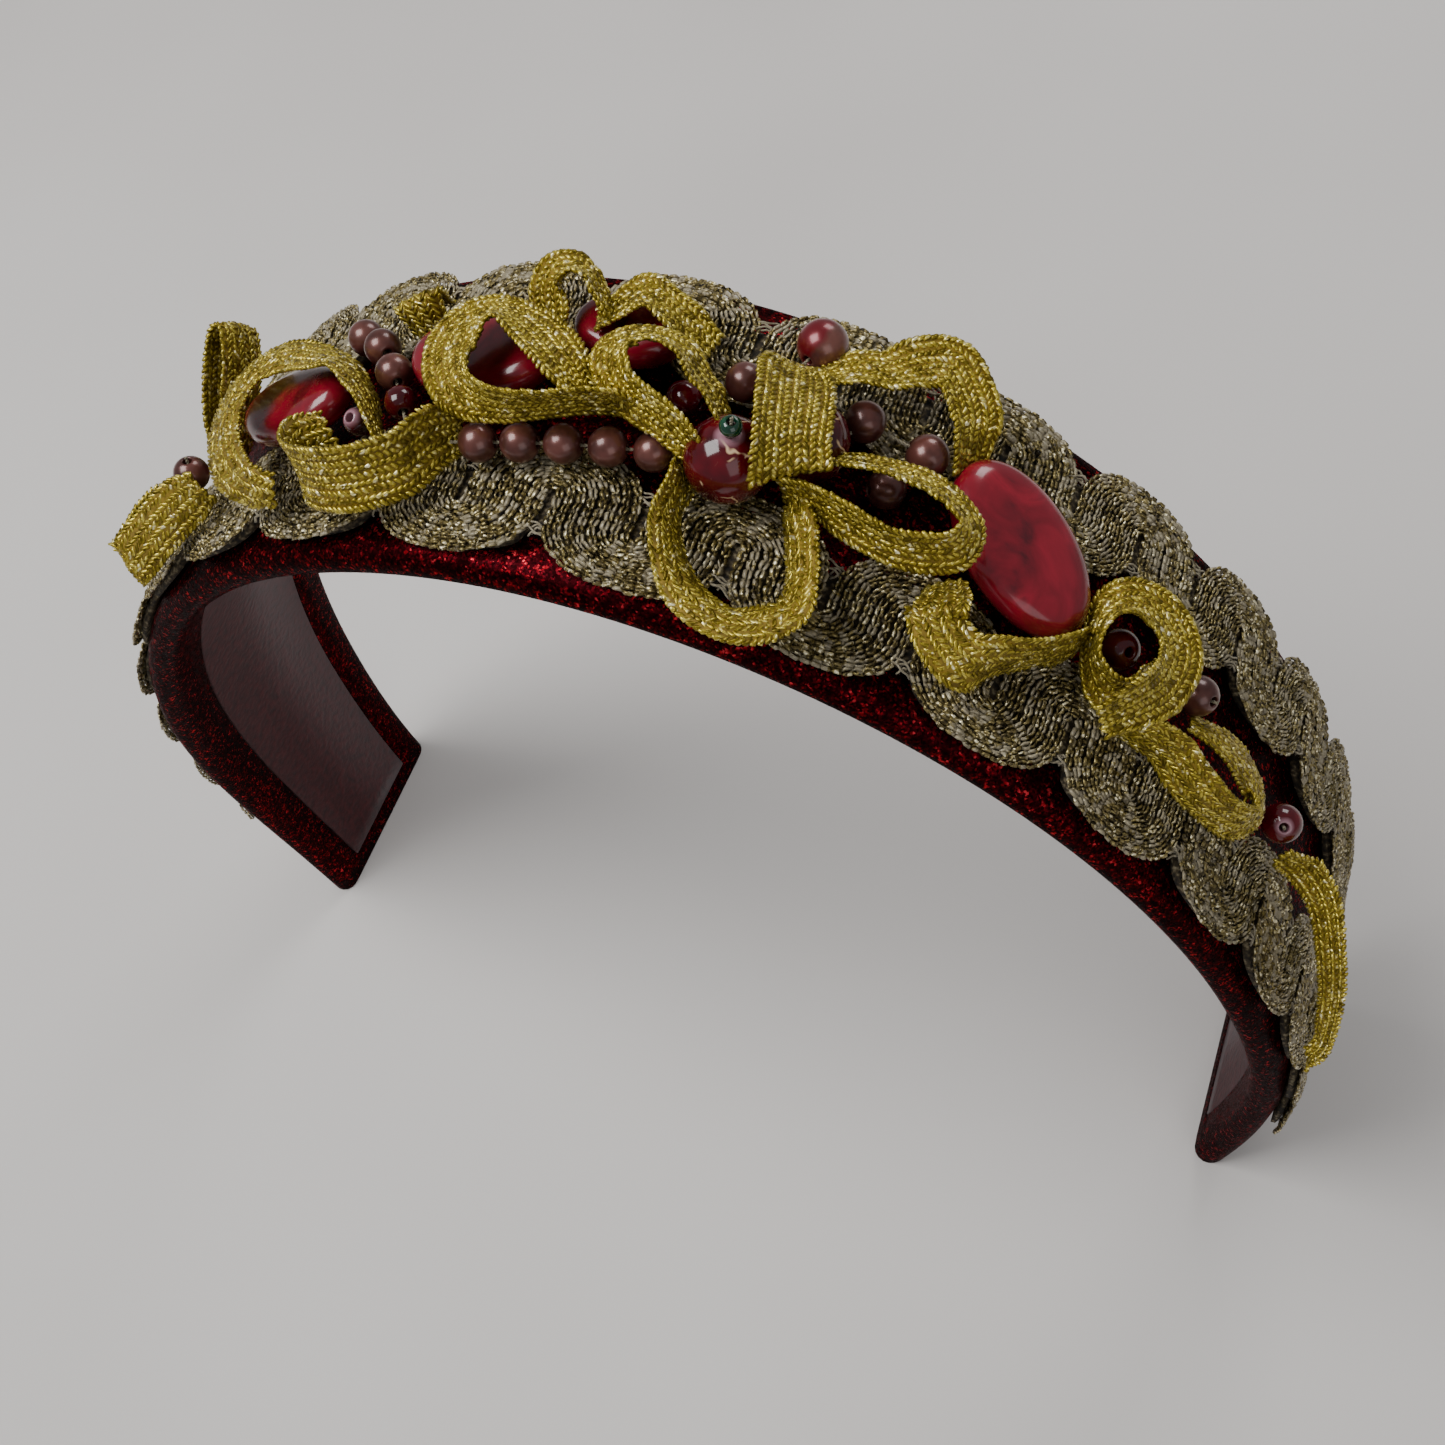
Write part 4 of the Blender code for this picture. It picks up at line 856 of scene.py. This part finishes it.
def glass_material(name, crackle, ring=None):
    """Wine glass, with cream cracks in it, or a pale ring (centre, hole, radius) at its hole."""
    mat, tree, shader = new_material(name, Roughness=0.12, IOR=1.5, Coat_Weight=0.15,
                                     Coat_Roughness=0.05)
    spot = add(tree, "ShaderNodeTexCoord").outputs["Object"]
    depth = add(tree, "ShaderNodeTexNoise", {"Vector": spot, "Scale": 300.0, "Detail": 2.0})
    colour = add(tree, "ShaderNodeValToRGB", {"Fac": depth.outputs["Fac"]},
                 [(0.3, "#2a0208"), (0.7, "#640414")]).outputs["Color"]
    if crackle:
        bend = add(tree, "ShaderNodeVectorMath", {0: depth.outputs["Color"], "Scale": 0.003},
                   operation="SCALE")
        bent = add(tree, "ShaderNodeVectorMath", {0: spot, 1: bend.outputs[0]}, operation="ADD")
        cracks = add(tree, "ShaderNodeTexVoronoi", {"Vector": bent.outputs[0], "Scale": 260.0},
                     feature="DISTANCE_TO_EDGE")
        line = add(tree, "ShaderNodeMapRange",
                   {"Value": cracks.outputs["Distance"], "From Min": 0.008, "From Max": 0.03,
                    "To Min": 1.0, "To Max": 0.0})
        broken = add(tree, "ShaderNodeTexNoise", {"Vector": spot, "Scale": 420.0})
        where = add(tree, "ShaderNodeMapRange",
                    {"Value": broken.outputs["Fac"], "From Min": 0.5, "From Max": 0.58})
        both_factors = add(tree, "ShaderNodeMath",
                           {0: line.outputs["Result"], 1: where.outputs["Result"]},
                           operation="MULTIPLY")
        both = add(tree, "ShaderNodeMix",
                   {"Factor": both_factors.outputs[0], 6: colour, 7: linear("#d8b890")},
                   data_type="RGBA")
        colour = both.outputs[2]
    if ring:
        centre, hole, radius = ring
        moved = add(tree, "ShaderNodeVectorMath", {0: spot, 1: tuple(centre)}, operation="SUBTRACT")
        off_axis = add(tree, "ShaderNodeVectorMath", {0: moved.outputs[0], 1: tuple(hole)},
                       operation="CROSS_PRODUCT")
        far = add(tree, "ShaderNodeVectorMath", {0: off_axis.outputs[0]}, operation="LENGTH")
        wavy = add(tree, "ShaderNodeMath",
                   {0: depth.outputs["Fac"], 1: radius * 0.8, 2: far.outputs["Value"]},
                   operation="MULTIPLY_ADD")
        pale_ring = add(tree, "ShaderNodeMapRange",
                    {"Value": wavy.outputs[0], "From Min": radius, "From Max": radius * 1.5,
                     "To Min": 0.75, "To Max": 0.0})
        ringed = add(tree, "ShaderNodeMix",
                     {"Factor": pale_ring.outputs["Result"], 6: colour, 7: linear("#b88a96")},
                     data_type="RGBA")
        colour = ringed.outputs[2]
    feed(shader, Base_Color=colour)
    return mat


def bead_place(name):
    """Centre, hole direction and diameter in metres of a bead."""
    low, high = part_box(name)
    centre = (Vector(low) + Vector(high)) / 2
    if name in JOINTS:
        centre, hole = Vector(JOINTS[name]["pos_m"]), Vector(JOINTS[name]["axis"])
    else:
        hole = Vector(turn(*FIXED_HOLES[name]))
    return centre, hole.normalized(), DIAMETERS.get(name, 4.0) * MM


def round_bead(name, centre, hole, diameter, mat, bore, flat):
    """Drilled bead with softly rounded hole rims."""
    radius, opening = diameter / 2, bore / 2 * MM
    start = math.asin(min(0.95, (opening + 0.12 * MM) / radius))
    profile = [(radius * math.sin(a), radius * math.cos(a) * flat)
               for a in np.linspace(start, math.pi - start, 25)]
    top = radius * math.cos(start) * flat
    inner = [(opening + 0.03 * MM, -top + 0.06 * MM), (opening, -top + 0.2 * MM), (opening, 0.0),
             (opening, top - 0.2 * MM), (opening + 0.03 * MM, top - 0.06 * MM)]
    profile = np.array(profile + inner)
    basis = np.array(hole.to_track_quat("Z", "Y").to_matrix())
    turns, n = 36, len(profile)
    points = []
    for k in range(turns):
        angle = 2 * math.pi * k / turns
        local = np.stack([profile[:, 0] * math.cos(angle), profile[:, 0] * math.sin(angle),
                          profile[:, 1]], 1)
        points.append(local @ basis.T + np.array(centre))
    faces = [(k * n + i, k * n + (i + 1) % n, ((k + 1) % turns) * n + (i + 1) % n,
              ((k + 1) % turns) * n + i)
             for k in range(turns) for i in range(n)]
    piece = new_piece(name + "_bead", np.concatenate(points), faces, mat)
    point_outwards(piece)
    return piece


mauve = pearl_material("mauve_pearl_lacquer", "#4a2620", "#6c3e36")
wine = glass_material("wine_glass", False)
crackled = glass_material("crackled_wine_glass", True)
where, _hole, _size = bead_place("two_tone_pearl")
two_tone = pearl_material("two_tone_pearl_lacquer", "#5a342e", "#7c4c42", "#6c0c18", where,
                          (-0.82, 0.16, 0.35))
# Dark green glass, wet-looking.
green_mat, tree, shader = new_material("green_seed_glass", Roughness=0.1, Coat_Weight=0.6)
spot = add(tree, "ShaderNodeTexCoord").outputs["Object"]
depth = add(tree, "ShaderNodeTexNoise", {"Vector": spot, "Scale": 700.0})
tint = add(tree, "ShaderNodeValToRGB", {"Fac": depth.outputs["Fac"]},
           [(0.3, "#04180e"), (0.7, "#0c4a30")])
feed(shader, Base_Color=tint.outputs["Color"])

RINGED = {"crackle_bead_front": 0.0014, "cluster_bead_hole": 0.001, "right_bead_hole": 0.0011}
BEADS = list(JOINTS) + list(FIXED_HOLES)
for name in BEADS:
    centre, hole, diameter = bead_place(name)
    if name in RINGED:
        mat = glass_material("wine_glass_milky_at_" + name, name.startswith("crackle"),
                             (centre, hole, RINGED[name]))
    elif name.startswith("crackle"):
        mat = crackled
    elif name == "seed_bead":
        mat = green_mat
    elif name == "two_tone_pearl":
        mat = two_tone
    else:
        mat = mauve if "pearl" in name else wine
    bore, flat = (0.9, 0.85) if name == "seed_bead" else (1.0, 1.0)
    bead = round_bead(name, centre, hole, diameter, mat, bore, flat)
    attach(bead, name if name in JOINTS else "headband")
    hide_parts(name)

# ---- flat stones ----
# Pressed oval stones in marbled red, tumble polished, with softly rounded rims,
# wedged under the ribbon loops and sewn through their length.
# Under a soft gloss they are deep crimson, clouded lighter and darker.
stone_mat, tree, shader = new_material("marbled_red_stone", Roughness=0.2, Coat_Weight=0.35,
                                       Coat_Roughness=0.08)
spot = add(tree, "ShaderNodeTexCoord").outputs["Object"]
marble = add(tree, "ShaderNodeTexNoise",
             {"Vector": spot, "Scale": 150.0, "Detail": 4.0, "Distortion": 1.6})
tint = add(tree, "ShaderNodeValToRGB", {"Fac": marble.outputs["Fac"]},
           [(0.3, "#420612"), (0.45, "#720a1c"), (0.64, "#8c1026"), (0.8, "#66081a")])
feed(shader, Base_Color=tint.outputs["Color"])
OVALS = {
    "left_oval": ((-33.5, -3.0, 9.6), 17.0, 10.0, 4.0, (1.0, 0.0)),
    "teardrop_oval": ((-12.0, 1.8, 9.7), 16.5, 10.5, 4.2, (1.0, 0.0)),
    "top_oval": ((0.4, 8.0, 9.4), 12.0, 8.5, 4.0, (1.0, 0.0)),
    "right_oval": ((39.2, 0.6, 9.9), 19.4, 12.4, 4.6, (0.82, -0.58)),
}
for name, (spot, length, width, thick, direction) in OVALS.items():
    long_way = Vector(turn(spot[0], (*direction, 0.0)))
    away = Vector(arch(spot[0])[2])
    short_way = away.cross(long_way)
    centre = Vector(place(np.array(spot[0]), spot[1], spot[2]))
    points, turns, levels = [], 72, 21
    for i in range(levels):
        climb = math.pi * (i / (levels - 1) - 0.5)
        inset = 0.42 * width * (1.0 - max(0.0, math.cos(climb)) ** 0.5)
        height = thick / 2 * math.sin(climb)
        for k in range(turns):
            angle = 2 * math.pi * k / turns
            x, y = (length / 2 - inset) * math.cos(angle), (width / 2 - inset) * math.sin(angle)
            points.append(centre + (long_way * x + short_way * y + away * height) * MM)
    stone = new_piece(name + "_stone", points, skin(levels, turns), stone_mat)
    point_outwards(stone)
    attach(stone, "headband")
    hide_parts(name)

# ---- sewing threads ----
# Two-ply beige thread: three strings that carry rows of beads, and a stitch through
# each bead that is sewn on by itself.
STRINGS = {
    "pearl_string": [f"string_pearl_{i}" for i in range(1, 6)],
    "cluster_string": ["cluster_pearl_1", "cluster_pearl_2", "cluster_pearl_3", "cluster_bead_red"],
    "rear_string": ["rear_pearl_1", "rear_pearl_2"],
}
STRING_TAIL = 0.003        # a string runs on this far past its end beads, down to the cloth
STITCH_SHOWS = 0.0004      # a stitch shows this much past its bead
THROUGH_SEED = 0.0066      # the front glass bead's stitch goes on through the seed bead
LAY, PLY_OFFSET, PLY_RADIUS, THREAD_STEP = 0.0009, 0.00009, 0.0001, 0.00012
thread_paths = {}
for name, beads in STRINGS.items():
    centres = [np.array(JOINTS[bead]["pos_m"]) for bead in beads]
    first, last = centres[1] - centres[0], centres[-1] - centres[-2]
    start = centres[0] - first / np.linalg.norm(first) * STRING_TAIL
    end = centres[-1] + last / np.linalg.norm(last) * STRING_TAIL
    thread_paths[name] = [start] + centres + [end]
for name in frame["nodes"]:
    if name.endswith("_stitch"):
        centre, hole, diameter = bead_place(name[:-len("_stitch")])
        reach = diameter / 2 + STITCH_SHOWS
        top = reach if name != "crackle_bead_front_stitch" else THROUGH_SEED
        thread_paths[name] = [np.array(centre - hole * reach), np.array(centre + hole * top)]
for name, path in thread_paths.items():
    path = np.array(path)
    length = np.concatenate([[0.0], np.cumsum(np.linalg.norm(np.diff(path, axis=0), axis=1))])
    even = np.linspace(0, length[-1], max(12, round(length[-1] / THREAD_STEP)))
    line = np.stack([np.interp(even, length, path[:, i]) for i in range(3)], 1)
    ahead = Vector(path[-1] - path[0]).normalized()
    basis = np.array(ahead.to_track_quat("Z", "Y").to_matrix())
    for ply_number, phase in enumerate((0.0, math.pi)):
        twist = even / LAY * 2 * math.pi + phase
        offset = np.stack([np.cos(twist), np.sin(twist), 0 * twist], 1) @ basis.T * PLY_OFFSET
        shape = thread_shape(line + offset, PLY_RADIUS, 5)
        thread = new_piece(f"{name}_ply_{ply_number + 1}", *shape, draw_mat)
        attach(thread, "headband")
        if ply_number == 0:
            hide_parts(name)
